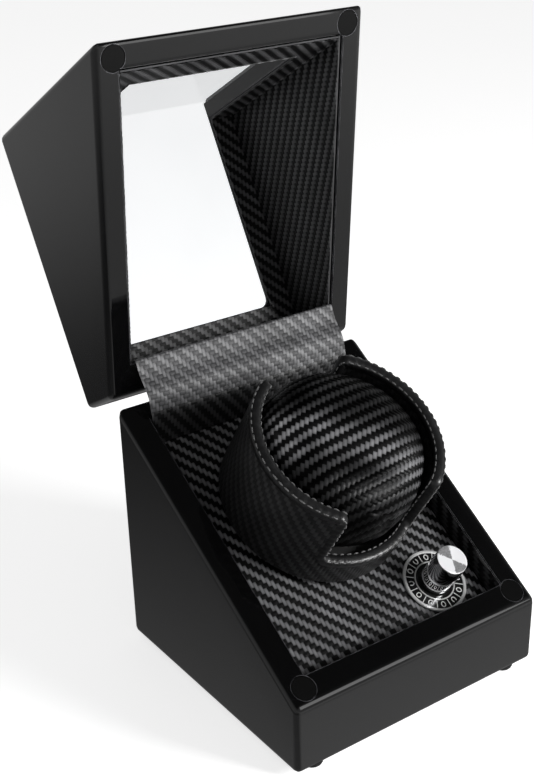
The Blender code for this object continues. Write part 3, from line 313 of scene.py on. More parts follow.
def leather(name, light, dark, roughness=0.42, shine=0.5, patchy=0.25, shaded=False):
    """Embossed carbon-weave leather.  Painted reflection: a lengthwise tow on top is painted light
    and a crosswise one dark, in place of the fibres' sheen, and painted shade darkens the low
    edges of each tow.  The weave layer counts tows, so the pattern sits on the relief."""
    g = Surface(name)
    on_top, across, height = shader_twill(g)
    fibres = g.math("SINE", g.product(across, 2 * math.pi * 6))
    grain = g.noise(0.22 * MM, 3)
    patches = g.step(g.noise(14 * MM, 3), 0.3, 0.7)
    wear = g.step(g.noise(5 * MM, 6), 0.6, 0.8)
    # Painted light: the sheen level depends on which tow is on top, and painted shade falls where the relief is
    # low.
    tone = g.product(g.span(on_top, dark, light), g.span(height, 0.35, 1.1),
                     g.span(patches, 1 - patchy, 1 + patchy), g.math("MULTIPLY_ADD", fibres, 0.1, 1.0),
                     g.span(grain, 0.8, 1.2), g.span(wear, 1.0, 1.12))
    gloss = g.span(on_top, 0.4 * shine, shine)
    # The pillow's layer of painted light and shade scales its colour and dims its gloss.
    if shaded:
        shade = g.node("ShaderNodeAttribute", {"attribute_name": "shade"}).outputs["Fac"]
        tone = g.product(tone, shade)
        gloss = g.product(gloss, g.span(shade, 0.15, 0.85))
    return g.finish(Base_Color=g.grey(tone, (1, 1, 1.04)), Specular_IOR_Level=gloss,
                    Roughness=g.span(g.noise(3 * MM), roughness - 0.06, roughness + 0.1),
                    Normal=g.bump(fibres, 0.006 * MM, g.bump(grain, 0.012 * MM)))


def plain_leather(name, tone, roughness):
    """Leather without the weave, for bindings: creased grain and lighter worn crests."""
    g = Surface(name)
    cells = g.node("ShaderNodeTexVoronoi", Vector=g.position(), Scale=1 / (0.55 * MM)).outputs[0]
    creases = g.noise(1.8 * MM, 5)
    worn = g.step(creases, 0.55, 0.8)
    value = g.product(g.span(worn, tone, tone * 2.2), g.span(g.noise(9 * MM), 0.75, 1.25))
    return g.finish(Base_Color=g.grey(value, (1, 1, 1.04)),
                    Roughness=g.span(creases, roughness - 0.08, roughness + 0.12),
                    Normal=g.bump(cells, 0.03 * MM, g.bump(creases, 0.14 * MM)))


def thread(name, tone):
    """Twisted polyester thread."""
    g = Surface(name)
    fuzz = g.noise(0.12 * MM, 4)
    return g.finish(Base_Color=g.grey(g.span(fuzz, tone * 0.7, tone * 1.3)), Roughness=0.55,
                    Sheen_Weight=0.3, Normal=g.bump(fuzz, 0.03 * MM))


def brushed(name, tone, tint=(1, 1, 1), grain=(1, 1, 12), roughness=0.26, metallic=1.0):
    """Brushed or turned metal, with scratches along the coordinates that aren't stretched."""
    g = Surface(name)
    lines = g.noise(0.9 * MM, 4, grain, 0.7)
    stains = g.noise(6 * MM, 4)
    value = g.product(g.span(lines, tone * 0.85, tone * 1.1), g.span(stains, 0.88, 1.08))
    dullness = g.math("ADD", g.span(lines, roughness - 0.05, roughness + 0.1), g.span(stains, -0.03, 0.05))
    return g.finish(Base_Color=g.grey(value, tint), Metallic=metallic, Roughness=dullness,
                    Normal=g.bump(lines, 0.01 * MM))


def moulded(name, tone, tint=(1, 1, 1), roughness=0.5, spark=0.28 * MM, shine=0.5):
    """Moulded plastic with an eroded texture."""
    g = Surface(name)
    grit = g.noise(spark, 3)
    value = g.product(g.span(grit, tone * 0.8, tone * 1.25), g.span(g.noise(12 * MM, 3), 0.85, 1.15))
    return g.finish(Base_Color=g.grey(value, tint), Roughness=g.span(grit, roughness - 0.06, roughness + 0.1),
                    Specular_IOR_Level=shine, Normal=g.bump(grit, 0.03 * MM))


def rubber():
    """Soft black rubber with a grey bloom."""
    g = Surface("soft_rubber")
    bloom = g.step(g.noise(2.5 * MM, 5), 0.4, 0.8)
    return g.finish(Base_Color=g.grey(g.span(bloom, 0.010, 0.028)), Roughness=g.span(bloom, 0.65, 0.85),
                    Specular_IOR_Level=0.3, Normal=g.bump(g.noise(0.2 * MM, 2), 0.02 * MM))


def circuit():
    """Solder mask with traces showing as lighter green lines."""
    g = Surface("circuit_green")
    lines = g.node("ShaderNodeTexBrick", Vector=g.position(), Scale=1 / (3.2 * MM)).outputs["Fac"]
    return g.finish(Base_Color=g.grey(g.span(lines, 0.08, 0.2), (0.12, 1, 0.35)),
                    Roughness=g.span(g.noise(1 * MM), 0.28, 0.42), Normal=g.bump(lines, 0.02 * MM))


def clear_sheet():
    """Clear acrylic: light goes straight through, with a mirror share that grows aslant, a trace of
    dust and a soft haze."""
    g = Surface("clear_acrylic")
    g.tree.nodes.remove(g.shader)
    mirror = g.node("ShaderNodeFresnel", IOR=1.45).outputs[0]
    haze = g.step(g.noise(35 * MM, 4), 0.35, 0.9, 0.0, 0.025)
    dust = g.step(g.noise(0.5 * MM, 1), 0.72, 0.8, 0.0, 0.02)
    through = g.node("ShaderNodeBsdfTransparent", Color=(0.975, 0.98, 0.985, 1))
    veil = g.node("ShaderNodeBsdfDiffuse", Color=(0.8, 0.8, 0.82, 1))
    shine = g.node("ShaderNodeBsdfGlossy", Color=(1, 1, 1, 1), Roughness=0.03)

    def blend(share, first, second):
        mixed = g.node("ShaderNodeMixShader", Fac=share)
        g.feed(mixed.inputs[1], first.outputs[0])
        g.feed(mixed.inputs[2], second.outputs[0])
        return mixed

    pane = blend(g.product(mirror, 0.16), blend(g.math("ADD", haze, dust), through, veil), shine)
    output = next(n for n in g.tree.nodes if n.type == "OUTPUT_MATERIAL")
    g.feed(output.inputs["Surface"], pane.outputs[0])
    return g.material


def spun_chrome(name, axis_point):
    """Turned knob: fine rings on its face, and painted reflections.  The bright and dull sectors that
    a lathe finish shows in soft light are painted into the face's colour, and the sides are a light
    grey, only partly metallic, in place of their reflections."""
    g = Surface(name)
    offset = g.node("ShaderNodeVectorMath", {"operation": "SUBTRACT"})
    g.feed(offset.inputs[0], g.node("ShaderNodeTexCoord").outputs["Object"])
    g.feed(offset.inputs[1], axis_point)
    u, v = (g.dot(offset.outputs[0], axis) for axis in (SLOPE_U, SLOPE_V))
    radius = g.math("SQRT", g.math("ADD", g.product(u, u), g.product(v, v)))
    sector = g.math("COSINE", g.math("MULTIPLY_ADD", g.math("ARCTAN2", v, u), 2.0, SECTOR_TURN))
    mottle = g.noise(0.7 * MM, 3)
    # Painted reflection: bright and dull sectors on the face, and light grey sides.
    bright = g.step(g.math("ADD", sector, g.span(mottle, -0.3, 0.3)), -0.6, -0.25)
    facing = g.node("ShaderNodeNewGeometry").outputs["Normal"]
    is_face = g.step(g.dot(facing, SLOPE_W), 0.6, 0.9)
    tone = g.choose(is_face, g.choose(bright, 0.95, g.span(mottle, 0.08, 0.42)), 0.8)
    rings = g.product(g.math("SINE", g.product(radius, 2 * math.pi / (0.18 * MM))), is_face)
    return g.finish(Base_Color=g.grey(tone, (1, 1, 1.02)), Metallic=g.span(is_face, 1.0, 0.35),
                    Roughness=g.math("ADD", g.product(is_face, 0.28), g.span(mottle, 0.05, 0.1)),
                    Normal=g.bump(rings, 0.004 * MM))


LACQUER = lacquer()
# Lit and shaded copies of the one woven leather: their painted tow levels are set to the light at each place. They
# are brightest on the panel, the flap, the lid's back strip and the pillow, dimmer on the lid's lining and walls
# and in the cup, and there is a painted-shadow copy for the flap inside the base.
PANEL_LEATHER = leather("panel_weave", 0.14, 0.001)
FLAP_LEATHER = leather("flap_weave", 0.115, 0.06)
FLAP_SHADOW_LEATHER = leather("flap_shadow_weave", 0.03, 0.006)
STRIP_LEATHER = leather("strip_weave", 0.09, 0.02)
LINING_LEATHER = leather("lining_weave", 0.06, 0.004)
WALL_LEATHER = leather("wall_weave", 0.045, 0.004)
CUP_LEATHER = leather("cup_weave", 0.014, 0.009, roughness=0.38)
PILLOW_LEATHER = leather("pillow_weave", 0.13, 0.002, roughness=0.34, shine=0.6, patchy=0.6, shaded=True)
BINDING = plain_leather("binding_leather", 0.006, 0.33)
THREAD = thread("stitch_thread", 0.085)
STEEL = brushed("brushed_steel", 0.55)
DARK_STEEL = brushed("zinc_steel", 0.5, roughness=0.32, grain=(1, 1, 1))
BRASS = brushed("turned_brass", 0.62, (1, 0.78, 0.4))
DIAL_METAL = brushed("dial_aluminium", 0.6, roughness=0.2, grain=(1, 1, 1), metallic=0.35)
PLASTIC = moulded("black_moulding", 0.018)
DISC_BLACK = moulded("disc_black", 0.002, roughness=0.3, spark=0.5 * MM, shine=0.12)
DIAL_BLACK = moulded("dial_enamel", 0.006, roughness=0.14, spark=1.5 * MM)
MARK_PAINT = moulded("mark_paint", 0.55, roughness=0.35, spark=0.3 * MM)
RED_CABLE = moulded("cable_red", 0.3, (1, 0.06, 0.05), 0.45)

SLOT_FINISH = {"lacquer": LACQUER, "leather": PANEL_LEATHER, "clear_pane": clear_sheet(),
               "chrome": DIAL_METAL, "dial_metal": DIAL_METAL, "steel": STEEL, "brass": BRASS,
               "black_plastic": PLASTIC, "rubber": rubber(), "circuit_board": circuit(),
               "cable": RED_CABLE}
NODE_FINISH = {"gear_motor": DARK_STEEL, "motor_shaft": DARK_STEEL, "drive_bracket": DARK_STEEL,
               "base_magnet_left": DISC_BLACK, "base_magnet_right": DISC_BLACK,
               "lid_magnet_left": DISC_BLACK, "lid_magnet_right": DISC_BLACK}


# ---- carried-over CAD nodes
SHARP_EDGE = math.radians(32)


def smooth_by_angle():
    """Node group that shades everything smooth but the sharp edges."""
    group = bpy.data.node_groups.new("smooth_by_angle", "GeometryNodeTree")
    for direction in ("INPUT", "OUTPUT"):
        group.interface.new_socket("Geometry", in_out=direction, socket_type="NodeSocketGeometry")
    kinds = ("NodeGroupInput", "GeometryNodeSetShadeSmooth", "GeometryNodeSetShadeSmooth",
             "NodeGroupOutput", "GeometryNodeInputMeshEdgeAngle", "FunctionNodeCompare")
    start, faces, edges, end, angle, blunt = (group.nodes.new(kind) for kind in kinds)
    faces.domain, edges.domain = "FACE", "EDGE"
    blunt.operation = "LESS_THAN"
    blunt.inputs[1].default_value = SHARP_EDGE
    for output, socket in ((start.outputs[0], faces.inputs["Geometry"]),
                           (faces.outputs[0], edges.inputs["Geometry"]),
                           (angle.outputs[0], blunt.inputs[0]),
                           (blunt.outputs[0], edges.inputs["Shade Smooth"]),
                           (edges.outputs[0], end.inputs[0])):
        group.links.new(output, socket)
    return group


def finish_cad_nodes():
    """Give each CAD node its material and smooth shading."""
    slots = {part["node"]: part["material_slot"] for part in frame["record"]["subparts"]}
    smoothing = smooth_by_angle()
    for name, obj in frame["nodes"].items():
        obj.data.materials.clear()
        obj.data.materials.append(NODE_FINISH.get(name, SLOT_FINISH[slots[name]]))
        weld = obj.modifiers.new("weld", "WELD")
        weld.merge_threshold = 1e-6
        smooth = obj.modifiers.new("smooth", "NODES")
        smooth.node_group = smoothing
        if name in ("base_shell", "lid_shell"):
            normals = obj.modifiers.new("normals", "WEIGHTED_NORMAL")
            normals.keep_sharp = True


# ---- meshes
def crown(share, power):
    return 1 - np.abs(2 * share - 1) ** power


def twill(s, t):
    """Height, from 0 to 1, of a 2/2 twill at tow counts s and t."""
    column, row = np.floor(s), np.floor(t)
    along, along_cross = np.mod(t + column, 4), np.mod(s + row, 4)
    on_top = along < 2
    across = np.where(on_top, s - column, t - row)
    run = np.where(on_top, along, along_cross - 2) / 2
    return crown(across, 3) * crown(run, 3)


def link(obj):
    bpy.context.scene.collection.objects.link(obj)
    return obj


def new_object(name, vertices, faces, materials, smooth=True):
    mesh = bpy.data.meshes.new(name)
    mesh.from_pydata([tuple(v) for v in vertices], [], [tuple(f) for f in faces])
    mesh.validate()
    if smooth:
        mesh.polygons.foreach_set("use_smooth", [True] * len(mesh.polygons))
    for material in materials:
        mesh.materials.append(material)
    return link(bpy.data.objects.new(name, mesh))


def mount(piece, body):
    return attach(piece, body)


def face_out(obj):
    bm = bmesh.new()
    bm.from_mesh(obj.data)
    bmesh.ops.recalc_face_normals(bm, faces=bm.faces)
    if bm.calc_volume(signed=True) < 0:
        bmesh.ops.reverse_faces(bm, faces=bm.faces)
    bm.to_mesh(obj.data)
    bm.free()


def vertex_table(obj, field):
    """Places ("co") or normals ("normal") of an object's vertices, one row each."""
    table = np.zeros(len(obj.data.vertices) * 3)
    obj.data.vertices.foreach_get(field, table)
    return table.reshape(-1, 3)


def move_vertices(obj, places):
    obj.data.vertices.foreach_set("co", places.ravel())
    obj.data.update()


def set_weave(obj, tows):
    """Store tow counts, one pair for each vertex, as the layer that leather materials read."""
    layer = obj.data.uv_layers.new(name="weave")
    corners = np.zeros(len(obj.data.loops), np.int32)
    obj.data.loops.foreach_get("vertex_index", corners)
    layer.data.foreach_set("uv", np.asarray(tows, np.float32)[corners].ravel())


def steps(low, high, step, marks=()):
    """Evenly spaced coordinates from low to high, with the nearest one moved onto each mark."""
    values = np.linspace(low, high, max(2, round((high - low) / step) + 1))
    for mark in marks:
        values[np.argmin(np.abs(values - mark))] = mark
    return values


def resample(points, step):
    """Evenly spaced points along a path, both ends included, and their distances along it."""
    lengths = np.concatenate([[0], np.cumsum(np.hypot(*np.diff(points, axis=0).T))])
    even = np.linspace(0, lengths[-1], round(lengths[-1] / step) + 1)
    return np.stack([np.interp(even, lengths, points[:, k]) for k in (0, 1)], axis=1), even


def grid_faces(rows, columns, keep=None, closed=False, looped=False, first=0):
    """Quads of a grid of vertices numbered row by row from first, where keep, one flag for each
    face, is true.  closed joins the last column to the first one, looped the last row."""
    quads = []
    for r in range(rows if looped else rows - 1):
        low, high = first + r * columns, first + (r + 1) % rows * columns
        for c in range(columns if closed else columns - 1):
            n = (c + 1) % columns
            if keep is None or keep[r, c]:
                quads.append((low + c, low + n, high + n, high + c))
    return quads


def woven_mesh(name, points, faces, tows, material):
    """Mesh of the points that its faces use, with its tow counts stored."""
    faces = np.array(faces)
    used = np.zeros(len(points), bool)
    used[np.unique(faces)] = True
    number = np.cumsum(used) - 1
    mesh = new_object(name, points[used], number[faces], [material])
    set_weave(mesh, tows[used])
    return mesh


# ---- woven sheets
def woven_sheet(name, p_values, q_low, q_high, q_step, origin, along_p, along_q, cell, material,
                mirrored=False, keep=None, q_marks=(), skirt=0.4 * MM):
    """Flat sheet of woven relief with its rim turned down.  It spans p_values along one direction,
    and from q_low(p) to q_high along the other; keep(p, q) says which places are leather."""
    first_low = q_low(p_values[0])
    shares = (steps(first_low, q_high, q_step, q_marks) - first_low) / (q_high - first_low)
    lows = np.array([q_low(p) for p in p_values])
    q = lows[None, :] + shares[:, None] * (q_high - lows)[None, :]
    p = np.repeat(p_values[None, :], len(shares), axis=0)
    kept = None
    if keep:
        kept = keep((p[:-1, :-1] + p[1:, 1:]) / 2, (q[:-1, :-1] + q[1:, 1:]) / 2)
    s, t = p / cell[0], (-q if mirrored else q) / cell[1]
    height = LIFT + RELIEF * twill(s, t)
    points = np.array(origin)[None, :]
    for distance, way in ((p, along_p), (q, along_q), (height, along_p.cross(along_q))):
        points = points + distance.reshape(-1, 1) * np.array(way)
    tows = np.stack([s.ravel(), t.ravel()], axis=1)
    sheet = woven_mesh(name, points, grid_faces(len(shares), len(p_values), kept), tows, material)
    rim = sheet.modifiers.new("turned_edge", "SOLIDIFY")
    rim.thickness = skirt
    rim.offset = -1
    rim.use_rim_only = True
    return sheet


def panel_leather():
    """Leather on the slanted panel, with holes for the cup's bush and the knob's switch."""
    bush_hole, switch_hole, edge_depth = 6.5 * MM, 4 * MM, 1.2 * MM
    points = node_points("slope_panel", in_slope)
    half, level = points[:, 0].max(), levels("slope_panel", in_slope, 2)[-1]
    top = points[np.abs(points[:, 2] - level) < SAME]
    v0, v1 = top[:, 1].min(), top[:, 1].max()
    knob_at = in_slope(JOINTS["knob_turn"]["pos_m"])

    def keep(u, v):
        over_bush = np.hypot(u, v - ROTOR_V) < bush_hole
        over_switch = np.hypot(u - knob_at.x, v - knob_at.y) < switch_hole
        return ~(over_bush | over_switch)

    sheet = woven_sheet("panel_leather", steps(-half, half, PANEL_CELL[0] / SAMPLES), lambda u: v0, v1,
                        PANEL_CELL[1] / SAMPLES, slope_point(0, 0, level), SLOPE_U, SLOPE_V,
                        PANEL_CELL, PANEL_LEATHER, keep=keep, skirt=edge_depth)
    mount(sheet, "base")


def lid_leathers():
    """Leather on the lid's lining boards, laid out with the lid shut and then opened with it."""
    left = node_points("lid_lining_left", shut)
    inner = -left[:, 0].max()
    y0, y1 = left[:, 1].min(), left[:, 1].max()
    top = left[:, 2].max()
    low_front, low_back = (left[np.abs(left[:, 1] - y) < SAME][:, 2].min() for y in (y0, y1))

    def low_edge(y):
        return low_front + (low_back - low_front) * (y - y0) / (y1 - y0)

    plan_x, plan_y = levels("lid_lining_top", shut, 0), levels("lid_lining_top", shut, 1)
    hole, lip_y = plan_x[-2], plan_y[-2]
    lip_z = levels("lid_lining_front", shut, 2)[1]
    underside = levels("lid_lining_top", shut, 2)[0]
    front_face, back_face = levels("lid_lining_front", shut, 1)[-1], levels("lid_lining_back", shut, 1)[0]
    back_z = levels("lid_lining_back", shut, 2)[0]
    step = LINING_CELL[0] / SAMPLES
    x_axis, y_axis, z_axis = Vector((1, 0, 0)), Vector((0, 1, 0)), Vector((0, 0, 1))
    across = steps(-plan_x[-1], plan_x[-1], step, (-hole, hole))
    deep = steps(y0, y1, step)
    sheets = [
        woven_sheet("lid_leather_left", deep, low_edge, top, step, (-inner, 0, 0),
                    y_axis, z_axis, LINING_CELL, WALL_LEATHER, mirrored=True),
        woven_sheet("lid_leather_right", -deep, lambda p: low_edge(-p), top, step,
                    (inner, 0, 0), -y_axis, z_axis, LINING_CELL, WALL_LEATHER),
        woven_sheet("lid_leather_top", across, lambda p: -plan_y[-1], -plan_y[0], step,
                    (0, 0, underside), x_axis, -y_axis, LINING_CELL, LINING_LEATHER,
                    keep=lambda p, q: ~((np.abs(p) < hole) & (-q < lip_y)), q_marks=(-lip_y,)),
        woven_sheet("lid_leather_front", -across, lambda p: low_edge(front_face), underside, step,
                    (0, front_face, 0), -x_axis, z_axis, LINING_CELL, LINING_LEATHER,
                    keep=lambda p, q: ~((np.abs(p) < hole) & (q > lip_z)), q_marks=(lip_z,)),
        woven_sheet("lid_leather_back", across, lambda p: back_z, underside, step,
                    (0, back_face, 0), x_axis, z_axis, LINING_CELL, STRIP_LEATHER, mirrored=True),
    ]
    for sheet in sheets:
        for vertex in sheet.data.vertices:
            vertex.co = opened(vertex.co)
        mount(sheet, "lid")


def flap_path():
    """Front face of the hinge flap as (y, z) points, evenly spaced: up the base's back wall, round
    the hinge line no nearer than FLAP_LEAST, and into the lid."""
    points = node_points("hinge_flap", Vector)[:, 1:]
    low = points.min(axis=0)
    bend_z = np.round(points[np.abs(points[:, 0] - low[0]) < SAME][:, 1].max(), 5)
    start, stop = np.array((low[0], bend_z)), points[points[:, 1].argmax()]
    tail = points[points[:, 0].argmax()]
    hinge = np.array((HINGE.y, HINGE.z))
    line = start + np.linspace(0, 1, 60)[:, None] * (stop - start)
    offset = line - hinge
    distance = np.hypot(offset[:, 0], offset[:, 1])
    bowed = (distance ** FLAP_SHARPNESS + FLAP_LEAST ** FLAP_SHARPNESS) ** (1 / FLAP_SHARPNESS)
    bowed = np.where(distance > FLAP_LEAST * FLAP_REACH, distance, bowed)
    arc = hinge + offset * (bowed / distance)[:, None]
    corners = np.vstack([low, (start + arc[0]) / 2, arc[1:-1], stop, tail])
    path, lengths = resample(corners, FLAP_CELL[1] / SAMPLES)
    for _ in range(FLAP_SMOOTHING):
        path[1:-1] = (path[:-2] + 2 * path[1:-1] + path[2:]) / 4
    return path, lengths


def flap_leather():
    """The flap of leather over the hinge, with painted shadow where it lies inside the base."""
    path, lengths = flap_path()
    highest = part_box("hinge_flap")[1]
    x = steps(-highest.x, highest.x, FLAP_CELL[0] / SAMPLES)
    tangent = np.gradient(path, axis=0)
    tangent /= np.linalg.norm(tangent, axis=1)[:, None]
    s, t = np.meshgrid(x / FLAP_CELL[0], lengths / FLAP_CELL[1])
    lift = RELIEF * twill(s, t)
    y = path[:, 0][:, None] - tangent[:, 1][:, None] * lift
    z = path[:, 1][:, None] + tangent[:, 0][:, None] * lift
    points = np.stack([np.repeat(x[None, :], len(path), axis=0), y, z], axis=2).reshape(-1, 3)
    flap = new_object("flap_leather", points, grid_faces(len(path), len(x)),
                      [FLAP_LEATHER, FLAP_SHADOW_LEATHER])
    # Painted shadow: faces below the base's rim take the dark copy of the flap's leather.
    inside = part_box("base_shell")[1].z - 1.5 * MM
    for face in flap.data.polygons:
        face.material_index = int(face.center.z < inside)
    set_weave(flap, np.stack([s.ravel(), t.ravel()], axis=1))
    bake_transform(flap)
    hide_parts("hinge_flap")


# ---- cup
def notch_angles():
    """Edges of the back and front notches, as angles at the cup's mean radius."""
    front, back = math.asin(NOTCH_FRONT / CUP_MEAN), math.asin(NOTCH_BACK / CUP_MEAN)
    quarter = math.pi / 2
    return (quarter - back, quarter + back), (3 * quarter - front, 3 * quarter + front)


def in_notch(angle, w):
    inside = np.zeros(angle.shape, bool)
    for low, high in notch_angles():
        inside |= (angle > low) & (angle < high)
    return inside & (w > NOTCH_LOW)


def cup_sheet(name, radius, low, outward, ribs, node):
    """Leather round the cup, notched front and back: weave, or upright ribs by the given share."""
    tows = round(2 * math.pi * radius / CUP_CELL[0] / 4) * 4
    columns, rows = tows * SAMPLES, round((CUP_RIM - low) / (CUP_CELL[1] / SAMPLES))
    angle = np.arange(columns) / columns * 2 * math.pi
    w = np.linspace(low, CUP_RIM, rows)
    s, t = np.meshgrid(np.arange(columns) / SAMPLES, w / CUP_CELL[1])
    lift = RELIEF * ((1 - ribs) * twill(s, t) + ribs * crown(s - np.floor(s), 2.5))
    r = radius + outward * (lift - RELIEF)
    a = np.repeat(angle[None, :], rows, axis=0)
    local = [r * np.cos(a), ROTOR_V + r * np.sin(a), np.repeat(w[:, None], columns, axis=1)]
    points = np.array(SLOPE_ORIGIN) + np.stack(local, axis=2).reshape(-1, 3) @ SLOPE_AXES
    keep = ~in_notch(a[:-1] + math.pi / columns, (w[:-1, None] + w[1:, None]) / 2)
    faces = [f[::outward] for f in grid_faces(rows, columns, keep, closed=True)]
    tow_counts = np.stack([s.ravel(), t.ravel()], axis=1)
    sheet = woven_mesh(name, points, faces, tow_counts, CUP_LEATHER)
    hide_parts(node)
    mount(sheet, "rotor")


def rim_loop(step):
    """The cup's edge, unrolled and with its corners rounded: distance round the mean radius and
    height, with its direction.  The last point meets the first after one full turn."""
    (b0, b1), (f0, f1) = ((low * CUP_MEAN, high * CUP_MEAN) for low, high in notch_angles())
    turn = np.array((2 * math.pi * CUP_MEAN, 0))
    corners = [(f1 - turn[0], CUP_RIM), (b0, CUP_RIM), (b0, NOTCH_LOW), (b1, NOTCH_LOW),
               (b1, CUP_RIM), (f0, CUP_RIM), (f0, NOTCH_LOW), (f1, NOTCH_LOW)]
    ring = [np.array(corners[-1]) - turn, *map(np.array, corners), np.array(corners[0]) + turn]
    points = []
    for before, here, after in zip(ring, ring[1:], ring[2:]):
        d1, d2 = here - before, after - here
        d1, d2 = d1 / np.linalg.norm(d1), d2 / np.linalg.norm(d2)
        radius = RIM_CORNER if here[1] == CUP_RIM else NOTCH_CORNER
        centre = here - d1 * radius + d2 * radius
        for angle in np.linspace(0, math.pi / 2, 9):
            points.append(centre - d2 * radius * math.cos(angle) + d1 * radius * math.sin(angle))
    points.append(points[0] + turn)
    path = resample(np.array(points), step)[0][:-1]
    following, previous = np.roll(path, -1, axis=0), np.roll(path, 1, axis=0)
    following[-1] += turn
    previous[0] -= turn
    way = following - previous
    return path, way / np.linalg.norm(way, axis=1)[:, None]


def rim_place(path, way, index, radial, outward):
    """World point at a place of the cup's edge, offset along the radius and away from the leather."""
    p = path[index][0] - way[index][1] * outward
    w = path[index][1] + way[index][0] * outward
    angle, radius = p / CUP_MEAN, CUP_MEAN + radial
    return slope_point(radius * math.cos(angle), ROTOR_V + radius * math.sin(angle), w)


def cup_binding():
    """Leather folded over the cup's edge, puckered a little by each stitch."""
    pucker_depth, pucker_period, edge = 0.05, 5.5, 0.15 * MM
    path, way = rim_loop(BINDING_STEP)
    section = [(BINDING_HALF * math.cos(a), BINDING_CROWN * math.sin(a)) for a in np.linspace(0, math.pi, 13)]
    side = [(BINDING_HALF - BINDING_TUCK, -BINDING_DEPTH), (BINDING_HALF, edge - BINDING_DEPTH)]
    section = side + section + [(-a, b) for a, b in reversed(side)]
    vertices = []
    for index in range(len(path)):
        pucker = 1 - pucker_depth * (1 + math.cos(2 * math.pi * index / pucker_period)) / 2
        vertices += [rim_place(path, way, index, a * pucker, b if b < 0 else b * pucker) for a, b in section]
    faces = grid_faces(len(path), len(section), closed=True, looped=True)
    binding = new_object("cup_binding", vertices, faces, [BINDING])
    face_out(binding)
    mount(binding, "rotor")


def add_stitch(vertices, faces, points, radius, sides=6):
    """Short length of thread through the given points, thick in the middle and closed at its ends."""
    first, count = len(vertices), len(points)
    for k, point in enumerate(points):
        ahead = (points[min(k + 1, count - 1)] - points[max(k - 1, 0)]).normalized()
        side = ahead.orthogonal().normalized()
        other = ahead.cross(side)
        share = 2 * k / (count - 1) - 1
        size = radius * math.sqrt(max(1 - abs(share) ** 4, 0.12))
        for a in range(sides):
            turn = 2 * math.pi * a / sides
            vertices.append(point + (side * math.cos(turn) + other * math.sin(turn)) * size)
    faces += grid_faces(count, sides, closed=True, first=first)
    faces.append(tuple(first + a for a in reversed(range(sides))))
    faces.append(tuple(first + (count - 1) * sides + a for a in range(sides)))


def stitch_row(name, places):
    """Stitches of uneven length along a row of (point, upward direction) pairs, STITCH_STEP apart."""
    vertices, faces = [], []
    chance = np.random.RandomState(len(places))
    start = 0
    while True:
        run = max(3, round(STITCH_LENGTH * chance.uniform(0.8, 1.15) / STITCH_STEP))
        pause = max(1, round(STITCH_GAP * chance.uniform(0.6, 1.6) / STITCH_STEP))
        if start + run >= len(places):
            break
        points = []
        for k in range(run + 1):
            point, up = places[start + k]
            height = STITCH_RISE * (1 - abs(2 * k / run - 1) ** 3) - STITCH_RADIUS * 0.5
            points.append(point + up * height)
        add_stitch(vertices, faces, points, STITCH_RADIUS)
        start += run + pause
    row = new_object(name, vertices, faces, [THREAD])
    face_out(row)
    mount(row, "rotor")


def cup_stitches():
    """Two rows of stitches on the binding's shoulders, outside and inside the cup's edge."""
    path, way = rim_loop(STITCH_STEP)
    outward = BINDING_CROWN * math.sin(STITCH_SHOULDER)
    for name, side in (("outer", 1), ("inner", -1)):
        radial = side * BINDING_HALF * math.cos(STITCH_SHOULDER)
        places = []
        for index in range(len(path)):
            point = rim_place(path, way, index, radial, outward)
            above = rim_place(path, way, index, radial + side * 0.4 * MM, outward + 0.6 * MM)
            places.append((point, (above - point).normalized()))
        stitch_row(f"cup_stitches_{name}", places)


# ---- pillow
def apply_modifiers(obj):
    evaluated = obj.evaluated_get(bpy.context.evaluated_depsgraph_get())
    mesh = bpy.data.meshes.new_from_object(evaluated)
    obj.modifiers.clear()
    obj.data = mesh


def simulate(obj):
    """Blow the closed skin up like a padded cushion, with gravity off."""
    rest = vertex_table(obj, "co")
    cloth = obj.modifiers.new("cloth", "CLOTH")
    for name, value in CLOTH_SETTINGS.items():
        setattr(cloth.settings, name, value)
    cloth.settings.effector_weights.gravity = 0
    scene = bpy.context.scene
    for number in range(1, CLOTH_FRAMES + 1):
        scene.frame_set(number)
    move = vertex_table(obj.evaluated_get(bpy.context.evaluated_depsgraph_get()), "co") - rest
    obj.modifiers.remove(cloth)
    scene.frame_set(1)
    length = np.linalg.norm(move, axis=1)
    limit = np.minimum(1, PILLOW_GROWTH_CAP / np.maximum(length, 1e-9))
    move_vertices(obj, rest + move * limit[:, None])


def pillow_skin():
    """Closed skin from the pillow's CAD solid: shrunk, remeshed, simulated and made fine."""
    bm = bmesh.new()
    bm.from_mesh(frame["nodes"]["pillow"].data)
    bmesh.ops.remove_doubles(bm, verts=bm.verts, dist=1e-6)
    mesh = bpy.data.meshes.new("pillow_leather")
    bm.to_mesh(mesh)
    bm.free()
    obj = link(bpy.data.objects.new("pillow_leather", mesh))
    middle = Vector(vertex_table(obj, "co").mean(axis=0))
    for vertex in mesh.vertices:
        vertex.co = middle + (vertex.co - middle) * PILLOW_SHRINK
    remesh = obj.modifiers.new("remesh", "REMESH")
    remesh.mode = "VOXEL"
    remesh.voxel_size = VOXEL
    apply_modifiers(obj)
    simulate(obj)
    smooth = obj.modifiers.new("smooth", "SMOOTH")
    smooth.factor = 0.5
    smooth.iterations = 3
    finer = obj.modifiers.new("finer", "SUBSURF")
    finer.levels = 3
    finer.render_levels = 3
    apply_modifiers(obj)
    return obj


def rotor_frame(obj):
    """An object's vertices as (u, v, w) about the rotor's axis."""
    return (vertex_table(obj, "co") - np.array(slope_point(0, ROTOR_V, 0))) @ SLOPE_AXES.T


